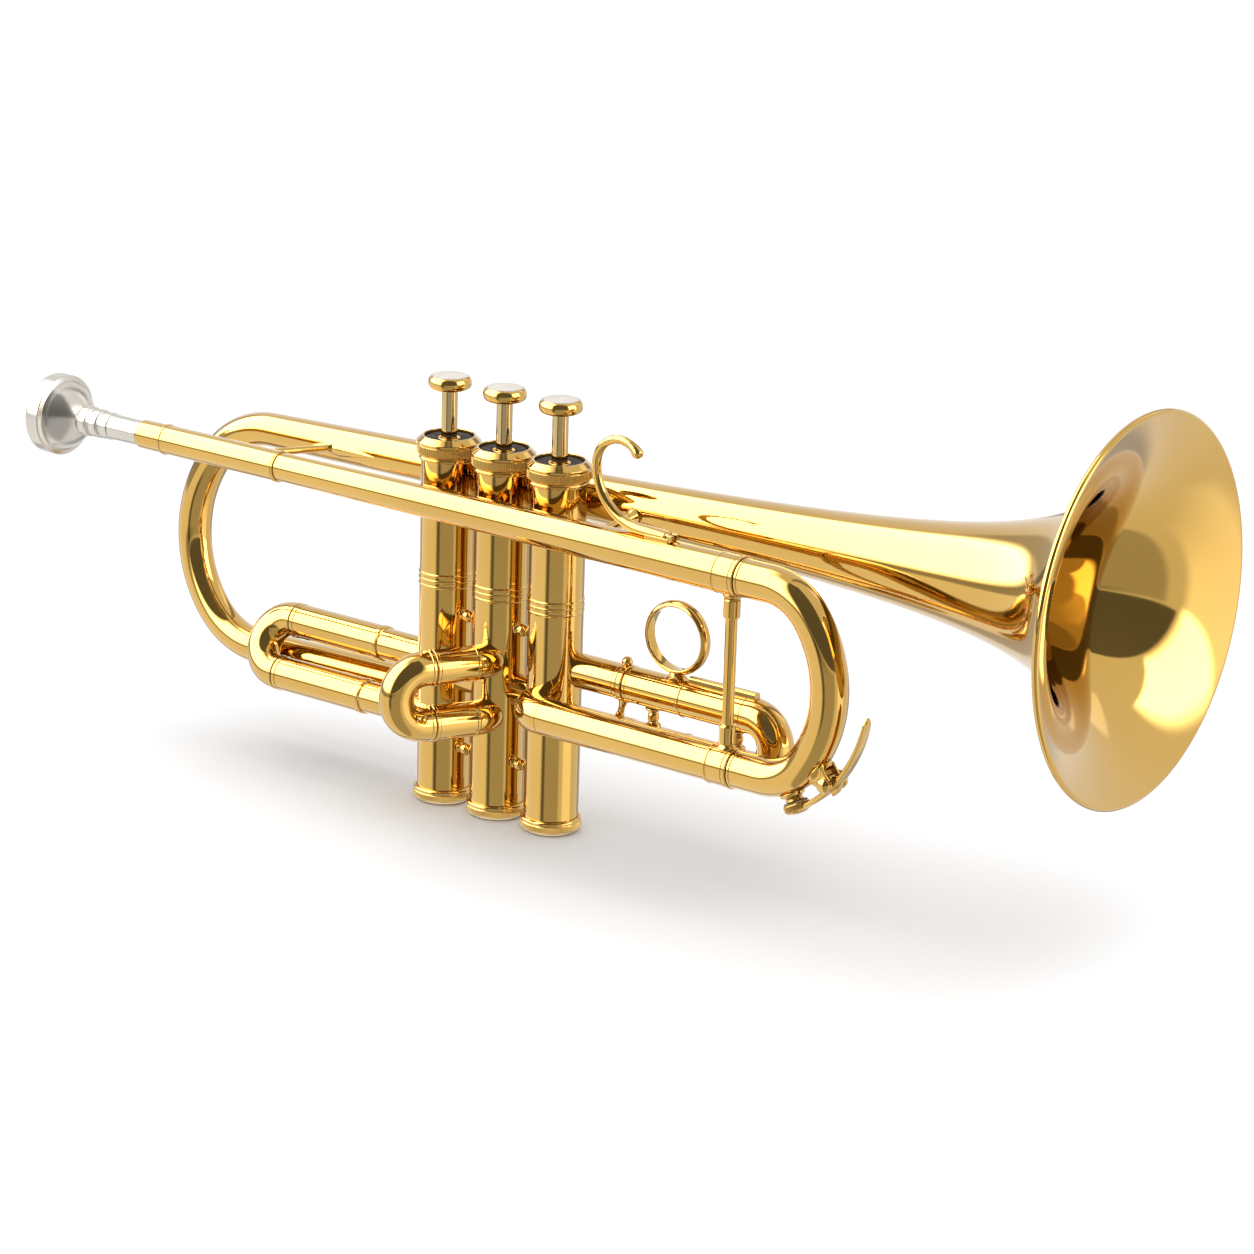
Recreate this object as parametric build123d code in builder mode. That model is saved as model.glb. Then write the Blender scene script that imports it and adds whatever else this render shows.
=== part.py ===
"""A three-valve B-flat trumpet, built as the separate pieces a brass maker joins.

Frame: +X points to the bell, +Y to the player's left and +Z up.  The origin is on
the axis of the second valve, in the plane that the three bottom caps stand on.
Lengths are in millimetres.
"""
from build123d import *
from math import atan2, cos, degrees, hypot, radians, sin, sqrt, tan
import os

os.makedirs("parts", exist_ok=True)

# ---- fits -------------------------------------------------------------------
sliding_fit = 0.05      # radial, slide leg in its tube
piston_fit = 0.03       # radial, piston in its casing
stem_fit = 0.10         # radial, stem in its cap
stop_gap = 0.30         # between a slide pushed home and its stop
tube_wall = 0.50

# ---- valves -----------------------------------------------------------------
valve_pitch = 23.4
casing_r = 9.3
casing_wall = 0.85
casing_base = 1.5
casing_top = 124.0
cap_top = 128.0
cap_r = 10.9
cap_skirt = 8.0
cap_web = 1.2
cap_mouth_r = 8.3
cap_hub_r = 5.1
bottom_cap_r = 10.35
bottom_cap_h = 5.2
vent_r = 1.5
band_z = 79.0
band_h = 4.4
band_r = 9.65
stem_r = 2.7
button_r = 7.4
button_h = 4.9
pearl_r = 6.05
pearl_h = 0.9
pearl_top = 148.4
valve_travel = 16.0
piston_base = 20.0
piston_deck = 74.0
guide_h = 3.2
felt_h = 1.9
spring_r = 5.6
spring_wire_r = 0.4
spring_turns = 10

# ---- leadpipe and main tuning slide -------------------------------------------
lead_y = -16.5
lead_z = 108.9
lower_z = 45.5
slide_port_x = 31.4
ferrule_start = 101.2
ferrule_end = 110.2
ferrule_r = 6.75
main_r = 6.2
main_leg_r = 5.6
main_leg_length = 52.0
lead_tail_r = 4.95
sleeve_r = 5.30
sleeve_end = -83.0
receiver_ring = -136.0
receiver_start = -147.5
receiver_r = 5.0
bow_run = 10.0
bow_reach = 24.0
bow_corner = 20.0
brace_x = 106.2
brace_r = 1.95
brace_socket_r = 2.75
brace_socket_h = 7.0

# ---- mouthpiece ----------------------------------------------------------------
rim_x = -192.0
rim_r = 14.3
shank_r = 4.2
shank_end = -125.0

# ---- bell ------------------------------------------------------------------------
bell_rim = Vector(232.8, 19.8, 115.0)
bell_tail = Vector(-116.3, 16.2, 109.7)
bell_rim_r = 62.0
bell_wall = 0.55
flare_length = 15.5
flare_power = 0.85
throat_r = 1.9
bell_joint = 240.0       # distance from the rim back to the soldered bell joint
rim_bead_r = 1.2
bell_bow_r = 6.0
bell_bow_drop = 78.0
bell_bow_lean = 7.55
bell_bow_reach = 34.1
bell_bow_corner = 31.0
tail_bend = 39.0
tail_bend_r = 13.0

# ---- first valve slide -----------------------------------------------------------
slide_r = 5.95
slide_leg_r = 5.40
port_r = 5.50
lip_r = 6.2
lip_w = 1.6
first_upper = (3.4, 47.8)
first_lower = (-5.8, 30.9)
first_lip = -53.2
first_end = -92.2
first_bow_run = 1.7

# ---- second valve slide ----------------------------------------------------------
second_exit = -81.2      # plan angle at which the knuckles leave the casing
second_heading = -117.5  # plan angle of the slide tubes
second_bend_r = 9.5
second_bend_start = 7.5
second_upper_z = 56.3
second_lower_z = 36.9
second_length = 15.5
second_bow_run = 2.6

# ---- third valve slide -------------------------------------------------------------
third_y = 3.1
third_upper_z = 56.6
third_lower_z = 38.2
third_stop = 51.2
third_ring = 76.0
third_end = 100.5
third_bow_run = 1.8
sleeve_wall = 0.6
finger_ring_x = 71.2
finger_ring_z = 76.4
finger_ring_r = 12.5
finger_ring_t = 2.1
finger_ring_w = 4.6
rail_end = 103.8
rail_w = 3.4
rail_h = 2.2

# ---- finger hook -------------------------------------------------------------------
hook_rod_r = 1.65
hook_curl_r = 9.2
hook_sweep_r = 18.6
hook_foot_x = 69.8
hook_foot_length = 11.5
hook_open = 41.0

# ---- water key ---------------------------------------------------------------------
key_nipple_angle = 27.0
key_pivot_angle = 56.0
key_nipple_h = 2.2
key_nipple_r = 3.2
key_cork_r = 4.0
key_cork_h = 1.3
key_pad_r = 4.4
key_pivot_stand = 4.3
key_pin_r = 0.9
key_barrel_r = 2.6
key_coil_r = 1.5
key_width = 5.0
key_tip = (158.6, 73.8)
key_gap = 0.3


def axis_plane(y, z):
    """A plane whose x axis runs along +X at the given place, with +Z as its y axis."""
    return Plane(origin=(0, y, z), x_dir=(1, 0, 0), z_dir=(0, -1, 0))


def valve_plane(x):
    """A plane whose x axis runs up a valve's axis."""
    return Plane(origin=(x, 0, 0), x_dir=(0, 0, 1), z_dir=(0, 1, 0))


def turn(outline, plane, mode=Mode.ADD):
    """Turn a closed outline of (along, radius) points about the plane's x axis."""
    with BuildSketch(plane) as profile:
        with BuildLine():
            Polyline(*outline, close=True)
        make_face()
    revolve(profile.sketch, axis=Axis(plane.origin, plane.x_dir), mode=mode)


def pipe(path, outer, inner, mode=Mode.ADD):
    """Carry a ring of the two radii along a smooth path."""
    with BuildSketch(Plane(origin=path @ 0, z_dir=path % 0)) as section:
        Circle(outer)
        if inner > 0:
            Circle(inner, mode=Mode.SUBTRACT)
    sweep(section.sketch, path=path, mode=mode)


def arch_sizes(half, reach, corner):
    """The turn of a three-centred arch's corner arcs in degrees, and its side radius."""
    turned = 90 - 2 * degrees(atan2(reach - corner, half - corner))
    return turned, corner + (half - corner) / cos(radians(turned))


def bow_path(plane, half, run, reach, corner, upper_run=None):
    """Two straight runs joined by a three-centred arch that springs from the plane's
    origin, or by a half circle where reach equals half."""
    with BuildLine(plane) as path:
        Line((-(upper_run or run), half), (0, half))
        if abs(reach - half) < 0.001:
            CenterArc((0, 0), half, 90, -180)
        else:
            turned, side = arch_sizes(half, reach, corner)
            CenterArc((0, half - corner), corner, 90, -turned)
            CenterArc((reach - side, 0), side, 90 - turned, 2 * turned - 180)
            CenterArc((0, corner - half), corner, turned - 90, -turned)
        Line((0, -half), (-run, -half))
    return path.wire()


def bow_point(half, reach, corner, angle, stand):
    """A point beside the lower half of the arch: stand is its distance from the centre
    line, along the normal that is turned by angle from straight down."""
    turned, side = arch_sizes(half, reach, corner)
    normal = Vector(sin(radians(angle)), -cos(radians(angle)))
    if angle <= turned:
        return Vector(0, corner - half) + normal * (corner + stand)
    return Vector(reach - side, 0) + normal * (side + stand)


def finish_piece(builder, name):
    """Label a finished piece and write its STEP file."""
    builder.part.label = name
    export_step(builder.part, f"parts/{name}.step")


casing_bore = casing_r - casing_wall
piston_r = casing_bore - piston_fit
web_base = casing_top
felt_base = web_base + cap_web
button_base = pearl_top - button_h
deck_top = casing_top - 0.4
bow_half = (lead_z - lower_z) / 2
bow_mid_z = (lead_z + lower_z) / 2
bow_start = ferrule_end + stop_gap
bow_plane = axis_plane(lead_y, bow_mid_z).shift_origin((bow_start + bow_run, lead_y, bow_mid_z))
main_bore = main_leg_r + sliding_fit
slide_bore = slide_leg_r + sliding_fit
valve_x = [-valve_pitch, 0.0, valve_pitch]

# The bell's axis, and the plane of the bow behind it, which leans outwards at the top.
bell_dir = (bell_rim - bell_tail).normalized()
bow_down = Vector(0, -bell_bow_lean, -sqrt(bell_bow_drop**2 - bell_bow_lean**2)).normalized()
bow_down = (bow_down - bell_dir * bow_down.dot(bell_dir)).normalized()
bell_half = bell_bow_drop / 2
bell_bow_plane = Plane(origin=bell_tail + bow_down * bell_half, x_dir=-bell_dir,
                       z_dir=bell_dir.cross(bow_down))
tail_start = bell_tail + bow_down * bell_bow_drop

# The tail runs back under the bell and turns in towards the first valve's axis.
tail_angle = degrees(atan2(bell_dir.Y, bell_dir.X)) - tail_bend
tail_turned = Vector(cos(radians(tail_angle)), sin(radians(tail_angle)), 0)
tail_offset = Vector(-valve_pitch, 0, 0) - tail_start
tail_corner = ((tail_offset.X * tail_turned.Y - tail_offset.Y * tail_turned.X)
               / (bell_dir.X * tail_turned.Y - bell_dir.Y * tail_turned.X))
tail_run = tail_corner - tail_bend_r * tan(radians(tail_bend / 2))
tail_end = tail_start + bell_dir * tail_run
tail_port_z = tail_end.Z + 0.25


# ---- the valves, one set for each of the three -------------------------------------
def air_ports(number):
    """The places where tubes enter a casing: (plan angle, height)."""
    if number == 1:
        return [(180, first_upper[1]), (180, first_lower[1]), (0, lower_z),
                (tail_angle + 180, tail_port_z)]
    if number == 2:
        return [(second_exit, second_upper_z), (second_exit, second_lower_z), (0, lower_z),
                (180, lower_z)]
    return [(0, third_upper_z), (0, third_lower_z), (-90, lower_z), (180, lower_z)]


for number, x in enumerate(valve_x, start=1):
    upright = valve_plane(x)

    with BuildPart() as casing:
        turn([(casing_base, casing_bore), (casing_base, casing_r),
              (band_z - band_h / 2, casing_r), (band_z - band_h / 2, band_r - 0.1),
              (band_z - 0.9, band_r - 0.1), (band_z - 0.6, band_r - 0.3),
              (band_z - 0.3, band_r), (band_z + 0.3, band_r), (band_z + 0.6, band_r - 0.3),
              (band_z + 0.9, band_r - 0.1), (band_z + band_h / 2, band_r - 0.1),
              (band_z + band_h / 2, casing_r), (casing_top, casing_r),
              (casing_top, casing_bore)], upright)
        for angle, height in air_ports(number):
            bore = Plane(origin=(x, 0, height), z_dir=(cos(radians(angle)), sin(radians(angle)), 0))
            with BuildSketch(bore) as port:
                Circle(port_r - tube_wall)
            extrude(port.sketch, amount=casing_r + 1, mode=Mode.SUBTRACT)
    finish_piece(casing, f"valve_casing_{number}")

    with BuildPart() as top_cap:
        skirt_base = cap_top - cap_skirt
        turn([(skirt_base, casing_r), (skirt_base, 10.0), (skirt_base + 0.7, 10.25),
              (skirt_base + 1.5, 10.25), (skirt_base + 1.9, 10.55), (skirt_base + 4.9, 10.55),
              (skirt_base + 5.3, cap_r), (skirt_base + 6.0, cap_r), (cap_top, 8.95),
              (cap_top, cap_mouth_r), (felt_base, cap_mouth_r), (felt_base, cap_hub_r),
              (felt_base + felt_h, cap_hub_r - 0.3), (felt_base + felt_h, stem_r + stem_fit + 0.5),
              (felt_base + 1.0, stem_r + stem_fit), (web_base, stem_r + stem_fit),
              (web_base, casing_r)], upright)
    finish_piece(top_cap, f"top_cap_{number}")

    with BuildPart() as bottom_cap:
        turn([(0, vent_r), (0, 7.4), (0.25, 8.6), (1.0, 9.8), (1.9, bottom_cap_r),
              (3.3, bottom_cap_r), (3.7, bottom_cap_r - 0.3), (4.0, bottom_cap_r - 0.3),
              (4.4, bottom_cap_r), (4.8, bottom_cap_r), (bottom_cap_h, bottom_cap_r - 0.4),
              (bottom_cap_h, casing_r), (casing_base, casing_r),
              (casing_base, casing_bore), (1.2, casing_bore), (1.2, vent_r)], upright)
    finish_piece(bottom_cap, f"bottom_cap_{number}")

    with BuildPart() as piston:
        barrel_bore = piston_r - 0.7
        turn([(piston_base, 0), (piston_base, piston_r - 0.4), (piston_base + 0.4, piston_r),
              (deck_top, piston_r), (deck_top, stem_r), (deck_top - 1.4, stem_r),
              (deck_top - 1.4, barrel_bore), (piston_deck, barrel_bore), (piston_deck, 0)], upright)
        for angle, height in air_ports(number):
            bore = Plane(origin=(x, 0, height), z_dir=(cos(radians(angle)), sin(radians(angle)), 0))
            with BuildSketch(bore) as port:
                Circle(port_r - tube_wall)
            extrude(port.sketch, amount=casing_r, mode=Mode.SUBTRACT)
        slot_h = guide_h + valve_travel + 1.0
        with Locations((x, 0, piston_deck + slot_h / 2)):
            Box(2 * casing_r, 3.6, slot_h, mode=Mode.SUBTRACT)
    finish_piece(piston, f"piston_{number}")

    with BuildPart() as stem:
        turn([(deck_top - 1.4, 0), (deck_top - 1.4, stem_r), (button_base + 1.0, stem_r),
              (button_base + 1.0, 1.6), (button_base + 3.0, 1.6), (button_base + 3.0, 0)], upright)
    finish_piece(stem, f"valve_stem_{number}")

    with BuildPart() as button:
        pearl_base = pearl_top - pearl_h
        with BuildSketch(upright) as profile:
            with BuildLine():
                Polyline((button_base, stem_r), (button_base, 5.3))
                ThreePointArc((button_base, 5.3), (button_base + 2.3, button_r),
                              (pearl_top - 0.25, 6.5))
                Polyline((pearl_top - 0.25, 6.5), (pearl_top - 0.25, pearl_r),
                         (pearl_base, pearl_r), (pearl_base, 0), (button_base + 3.0, 0),
                         (button_base + 3.0, 1.6), (button_base + 1.0, 1.6),
                         (button_base + 1.0, stem_r), (button_base, stem_r))
            make_face()
        revolve(profile.sketch, axis=Axis(upright.origin, upright.x_dir))
    finish_piece(button, f"finger_button_{number}")

    with BuildPart() as pearl:
        turn([(pearl_base, 0), (pearl_base, pearl_r), (pearl_top - 0.2, pearl_r),
              (pearl_top, pearl_r - 0.5), (pearl_top, 0)], upright)
    finish_piece(pearl, f"button_pearl_{number}")

    with BuildPart() as spring:
        spring_base = piston_deck + guide_h + 0.1 + spring_wire_r
        spring_rise = deck_top - 1.4 - 0.1 - spring_wire_r - spring_base
        with BuildLine():
            coil = Helix(spring_rise / spring_turns, spring_rise, spring_r, center=(x, 0, spring_base))
        with BuildSketch(Plane(origin=coil @ 0, z_dir=coil % 0)) as wire:
            Circle(spring_wire_r)
        sweep(wire.sketch, path=coil, is_frenet=True)
    finish_piece(spring, f"valve_spring_{number}")

with BuildPart() as guides:
    for x in valve_x:
        guide_base = piston_deck + 0.1
        turn([(guide_base, 0), (guide_base, piston_r - 1.0), (guide_base + guide_h, piston_r - 1.0),
              (guide_base + guide_h, 0)], valve_plane(x))
        with Locations((x, 0, guide_base + guide_h / 2)):
            Box(2 * casing_bore, 3.2, guide_h)
        with BuildSketch(Plane.XY.offset(guide_base)) as outside:
            with Locations((x, 0)):
                Circle(casing_r + 2)
                Circle(casing_bore, mode=Mode.SUBTRACT)
        extrude(outside.sketch, amount=guide_h, mode=Mode.SUBTRACT)
finish_piece(guides, "valve_guides")

with BuildPart() as felts:
    for x in valve_x:
        turn([(felt_base, cap_hub_r), (felt_base, cap_mouth_r), (felt_base + felt_h, cap_mouth_r),
              (felt_base + felt_h, cap_hub_r)], valve_plane(x))
finish_piece(felts, "cap_felts")


# ---- between the valves ----------------------------------------------------------
def trim_casings(*numbers):
    """Cut the outside of the named casings away from the part being built."""
    for number in numbers:
        with Locations((valve_x[number - 1], 0, casing_top / 2)):
            Cylinder(casing_r, casing_top, mode=Mode.SUBTRACT)


stud_y = -2.6
stud_heights = (20.5, 67.6)
with BuildPart() as studs:
    for left in valve_x[:2]:
        for z in stud_heights:
            middle = left + valve_pitch / 2
            reach = valve_pitch / 2 - casing_r + 1.2
            turn([(middle - reach, 0), (middle - reach, 1.7), (middle - 1.2, 1.7),
                  (middle - 0.8, 2.2), (middle + 0.8, 2.2), (middle + 1.2, 1.7),
                  (middle + reach, 1.7), (middle + reach, 0)], axis_plane(stud_y, z))
    trim_casings(1, 2, 3)
finish_piece(studs, "casing_studs")

with BuildPart() as crossovers:
    for left in valve_x[:2]:
        turn([(left + 6, port_r - tube_wall), (left + 6, port_r), (left + valve_pitch - 6, port_r),
              (left + valve_pitch - 6, port_r - tube_wall)], axis_plane(0, lower_z))
    trim_casings(1, 2, 3)
finish_piece(crossovers, "crossover_tubes")

# ---- leadpipe -----------------------------------------------------------------------
lead_line = axis_plane(lead_y, lead_z)
receiver_bore = shank_r + sliding_fit

with BuildPart() as receiver:
    turn([(receiver_start, receiver_bore), (receiver_start, receiver_r - 0.2),
          (receiver_start + 0.4, receiver_r), (receiver_ring - 0.6, receiver_r + 0.1),
          (receiver_ring - 0.4, receiver_r + 0.35), (receiver_ring + 0.4, receiver_r + 0.35),
          (receiver_ring + 0.6, receiver_r + 0.1), (sleeve_end - 1.4, sleeve_r),
          (sleeve_end - 1.2, sleeve_r + 0.15), (sleeve_end, sleeve_r + 0.15),
          (sleeve_end, lead_tail_r), (shank_end + 0.5, lead_tail_r),
          (shank_end + 0.5, receiver_bore)], lead_line)
finish_piece(receiver, "mouthpiece_receiver")

leg_pocket = bow_start - main_leg_length - 1.0
with BuildPart() as leadpipe:
    turn([(shank_end + 0.5, lead_tail_r - tube_wall), (shank_end + 0.5, lead_tail_r),
          (sleeve_end, lead_tail_r), (ferrule_start, main_r + 0.25), (ferrule_end, main_r + 0.25),
          (ferrule_end, main_bore), (leg_pocket, main_bore), (leg_pocket, main_bore - 0.5),
          (sleeve_end, lead_tail_r - tube_wall)], lead_line)
finish_piece(leadpipe, "leadpipe")

lower_line = axis_plane(lead_y, lower_z)
knuckle_r = slide_port_x - valve_pitch
with BuildPart() as lower_tube:
    turn([(slide_port_x, main_bore), (slide_port_x, main_r + 0.15), (slide_port_x + 1, main_r + 0.15),
          (slide_port_x + 1.2, main_r), (ferrule_end, main_r), (ferrule_end, main_bore)], lower_line)
    with BuildLine(Plane.XY.offset(lower_z)) as elbow:
        CenterArc((slide_port_x, lead_y + knuckle_r), knuckle_r, -90, -90)
        Line((valve_pitch, lead_y + knuckle_r), (valve_pitch, lead_y + knuckle_r + 4))
    pipe(elbow.wire(), main_r, main_bore)
    trim_casings(3)
finish_piece(lower_tube, "lower_slide_tube")

ferrule_outline = [(ferrule_start, ferrule_r - 0.1), (ferrule_start + 0.3, ferrule_r),
                   (ferrule_start + 1.2, ferrule_r), (ferrule_start + 1.5, ferrule_r - 0.15),
                   (ferrule_end - 1.5, ferrule_r - 0.15), (ferrule_end - 1.2, ferrule_r),
                   (ferrule_end - 0.2, ferrule_r), (ferrule_end, ferrule_r - 0.15)]
with BuildPart() as ferrules:
    for line, inside in ((lead_line, main_r + 0.25), (lower_line, main_r)):
        turn([(ferrule_start, inside)] + ferrule_outline + [(ferrule_end, inside)], line)
finish_piece(ferrules, "slide_ferrules")

with BuildPart() as slide_brace:
    socket = brace_socket_h + ferrule_r
    turn([(lower_z, 0), (lower_z, 3.2), (lower_z + ferrule_r + 0.9, 3.2),
          (lower_z + ferrule_r + 1.4, brace_socket_r), (lower_z + socket, brace_socket_r),
          (lower_z + socket + 0.4, brace_r), (lead_z - socket - 0.4, brace_r),
          (lead_z - socket, brace_socket_r), (lead_z - ferrule_r - 1.4, brace_socket_r),
          (lead_z - ferrule_r - 0.9, 3.2), (lead_z, 3.2), (lead_z, 0)],
         Plane(origin=(brace_x, lead_y, 0), x_dir=(0, 0, 1), z_dir=(0, 1, 0)))
    for line in (lead_line, lower_line):
        turn([(ferrule_start, 0)] + ferrule_outline + [(ferrule_end, 0)], line, mode=Mode.SUBTRACT)
finish_piece(slide_brace, "slide_brace")

# The finger hook: a curl over the little finger, then a longer sweep down to its foot.
hook_z = lead_z + main_r + hook_rod_r - 0.1
curl_x = hook_foot_x - hook_sweep_r + hook_curl_r
curl_z = hook_z + hook_sweep_r
with BuildPart() as hook:
    with BuildLine(axis_plane(lead_y, 0)) as rod:
        CenterArc((curl_x, curl_z), hook_curl_r, hook_open, 180 - hook_open)
        CenterArc((hook_foot_x, curl_z), hook_sweep_r, 180, 90)
        Line((hook_foot_x, hook_z), (hook_foot_x + hook_foot_length, hook_z))
    pipe(rod.wire(), hook_rod_r, 0)
    with Locations(rod.wire() @ 0):
        Sphere(hook_rod_r)
    with Locations((hook_foot_x + hook_foot_length - 2.5, lead_y, hook_z - hook_rod_r + 0.2)):
        Box(9, 5.0, 1.8)
    with Locations((hook_foot_x + hook_foot_length + 1.0, lead_y, hook_z - 0.7)):
        Box(2.4, 5.0, 1.2)
        Box(1.4, 1.2, 3.0, mode=Mode.SUBTRACT)
    turn([(sleeve_end, 0), (sleeve_end, lead_tail_r), (ferrule_start, main_r + 0.25),
          (ferrule_start, 0)], lead_line, mode=Mode.SUBTRACT)
finish_piece(hook, "finger_hook")


# ---- bell ------------------------------------------------------------------------------
bell_length = (bell_rim - bell_tail).length
bell_line = Plane(origin=bell_tail, x_dir=bell_dir, z_dir=bell_dir.cross(Vector(0, 0, 1)))


def bell_radius(back):
    """Outside radius of the bell at a distance back from its rim: a Bessel horn."""
    return throat_r + (bell_rim_r - throat_r) * (1 + back / flare_length) ** -flare_power


def horn_points(first, last, count, inset):
    """Points of the horn's outline between two distances back from the rim, spaced
    closer towards the rim, moved inwards by inset along the outline's normal."""
    points = []
    for step in range(count + 1):
        back = last + (first - last) * (1 - step / count) ** 2
        slope = (bell_radius(back - 0.01) - bell_radius(back + 0.01)) / 0.02
        normal = hypot(1, slope)
        along = bell_length - back + inset * slope / normal
        points.append((along, bell_radius(back) - inset / normal))
    return points


with BuildPart() as bell:
    outside = horn_points(bell_joint, 0, 16, 0)
    inside = horn_points(bell_joint, 0, 16, bell_wall)
    with BuildSketch(bell_line) as profile:
        with BuildLine():
            Spline(*outside)
            Line(outside[-1], inside[-1])
            Spline(*inside[::-1])
            Line(inside[0], outside[0])
        make_face()
    revolve(profile.sketch, axis=Axis(bell_tail, bell_dir))
    with BuildSketch(bell_line) as bead:
        with Locations((bell_length - rim_bead_r * 0.6, bell_rim_r - rim_bead_r * 0.75)):
            Circle(rim_bead_r)
    revolve(bead.sketch, axis=Axis(bell_tail, bell_dir))
finish_piece(bell, "bell")

with BuildPart() as bell_bow:
    joint = bell_length - bell_joint
    turn([(0, bell_bow_r - tube_wall), (0, bell_bow_r), (joint, bell_radius(bell_joint)),
          (joint, bell_radius(bell_joint) - tube_wall)], bell_line)
    curve = bow_path(bell_bow_plane, bell_half, tail_run, bell_bow_reach, bell_bow_corner, 0.5)
    pipe(curve, bell_bow_r, bell_bow_r - tube_wall)
    turn_plane = Plane(origin=tail_end, x_dir=bell_dir, z_dir=bell_dir.cross(Vector(0, 1, 0)))
    with BuildLine(turn_plane) as elbow:
        arc = CenterArc((0, -tail_bend_r), tail_bend_r, 90, -tail_bend)
        Line(arc @ 1, (arc @ 1) + (arc % 1) * 9)
    pipe(elbow.wire(), bell_bow_r, bell_bow_r - tube_wall)
    trim_casings(1)
finish_piece(bell_bow, "bell_bow")


def rod_between(start, end, radius):
    """A straight round rod between two points."""
    line = Vector(*end) - Vector(*start)
    with BuildSketch(Plane(origin=start, z_dir=line)) as section:
        Circle(radius)
    extrude(section.sketch, amount=line.length)


def bell_axis_at(x):
    """The place on the bell's axis at a given x."""
    return bell_tail + bell_dir * ((x - bell_tail.X) / bell_dir.X)


def trim_bell_tube():
    """Cut the outside of the bell's tube away from the part being built."""
    turn([(0, 0), (0, bell_bow_r), (bell_length - bell_joint, bell_radius(bell_joint)),
          (bell_length - bell_joint, 0)], bell_line, mode=Mode.SUBTRACT)
    points = horn_points(bell_joint, 60, 12, 0)
    turn([(points[0][0], 0)] + points + [(points[-1][0], 0)], bell_line, mode=Mode.SUBTRACT)


def trim_leadpipe():
    """Cut the outside of the leadpipe away from the part being built."""
    turn([(receiver_ring, 0), (receiver_ring, sleeve_r), (sleeve_end, sleeve_r),
          (sleeve_end, lead_tail_r), (ferrule_start, main_r + 0.25), (ferrule_start, 0)],
         lead_line, mode=Mode.SUBTRACT)


rear_brace_x = (-99.0, -81.0)
with BuildPart() as rear_brace:
    bell_side = bell_axis_at(rear_brace_x[1])
    rod_between((rear_brace_x[0], lead_y, lead_z + 1.5), bell_side, 1.2)
    with BuildSketch(Plane.XZ.offset(-(bell_side.Y - bell_bow_r - 0.6))) as kite:
        with Locations((bell_side.X, bell_side.Z)):
            Polygon((-11.5, 0), (0, 2.9), (17, 0), (0, -2.9), align=None)
    extrude(kite.sketch, amount=-4)
    trim_bell_tube()
    trim_leadpipe()
finish_piece(rear_brace, "rear_bell_brace")

front_brace_x = 47.5
with BuildPart() as front_brace:
    bell_side = bell_axis_at(front_brace_x)
    lead_side = (front_brace_x, lead_y, lead_z)
    rod_between(lead_side, bell_side, 1.6)
    for end, far, depth in ((Vector(*lead_side), bell_side, main_r + 1.4),
                            (bell_side, Vector(*lead_side), bell_radius(185) + 1.4)):
        rod_between(end, end + (far - end).normalized() * depth, 2.8)
    trim_bell_tube()
    trim_leadpipe()
finish_piece(front_brace, "front_bell_brace")


# ---- valve slides ----------------------------------------------------------------------
def slide_tube(start, lip, end, plane, ring_at_end):
    """A fixed slide tube: a port tube as far as the lip, then the slide's outer tube."""
    way = 1 if end > start else -1
    outline = [(start, port_r - tube_wall), (start, port_r), (lip, port_r), (lip, lip_r - 0.1),
               (lip + 0.3 * way, lip_r), (lip + (lip_w - 0.3) * way, lip_r),
               (lip + lip_w * way, slide_r)]
    if ring_at_end:
        outline += [(end - 1.2 * way, slide_r), (end - 1.0 * way, slide_r + 0.15)]
        outline += [(end, slide_r + 0.15)]
    else:
        outline += [(end, slide_r)]
    outline += [(end, slide_bore), (lip + 4 * way, slide_bore), (lip + 4 * way, port_r - tube_wall)]
    turn(outline, plane)


first_half = hypot(first_upper[0] - first_lower[0], first_upper[1] - first_lower[1]) / 2
first_mid = ((first_upper[0] + first_lower[0]) / 2, (first_upper[1] + first_lower[1]) / 2)
first_up = Vector(0, first_upper[0] - first_lower[0], first_upper[1] - first_lower[1])
first_arch_x = first_end - stop_gap - first_bow_run
first_plane = Plane(origin=(first_arch_x, *first_mid), x_dir=(-1, 0, 0),
                    z_dir=Vector(-1, 0, 0).cross(first_up))

with BuildPart() as first_tubes:
    for y, z in (first_upper, first_lower):
        slide_tube(-valve_pitch - 3, first_lip, first_end, axis_plane(y, z), True)
    trim_casings(1)
finish_piece(first_tubes, "first_slide_tubes")

with BuildPart() as first_legs:
    for y, z in (first_upper, first_lower):
        turn([(first_lip - 5, slide_leg_r - 0.4), (first_lip - 5, slide_leg_r),
              (first_arch_x, slide_leg_r), (first_arch_x, slide_leg_r - 0.4)], axis_plane(y, z))
finish_piece(first_legs, "first_slide_legs")

with BuildPart() as first_bow:
    pipe(bow_path(first_plane, first_half, first_bow_run, first_half, 0), slide_r, slide_leg_r)
finish_piece(first_bow, "first_slide_bow")

# The second slide leaves the casing through two bent knuckles.
exit_dir = Vector(cos(radians(second_exit)), sin(radians(second_exit)), 0)
second_dir = Vector(cos(radians(second_heading)), sin(radians(second_heading)), 0)
second_turn = second_exit - second_heading
bend_side = exit_dir.rotate(Axis.Z, -90)
bend_centre = exit_dir * second_bend_start + bend_side * second_bend_r
knuckle_end = bend_centre - bend_side.rotate(Axis.Z, -second_turn) * second_bend_r


def second_line(z):
    """A plane whose x axis runs out along the second slide from its knuckle."""
    return Plane(origin=knuckle_end + Vector(0, 0, z), x_dir=second_dir,
                 z_dir=second_dir.cross(Vector(0, 0, 1)))


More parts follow.
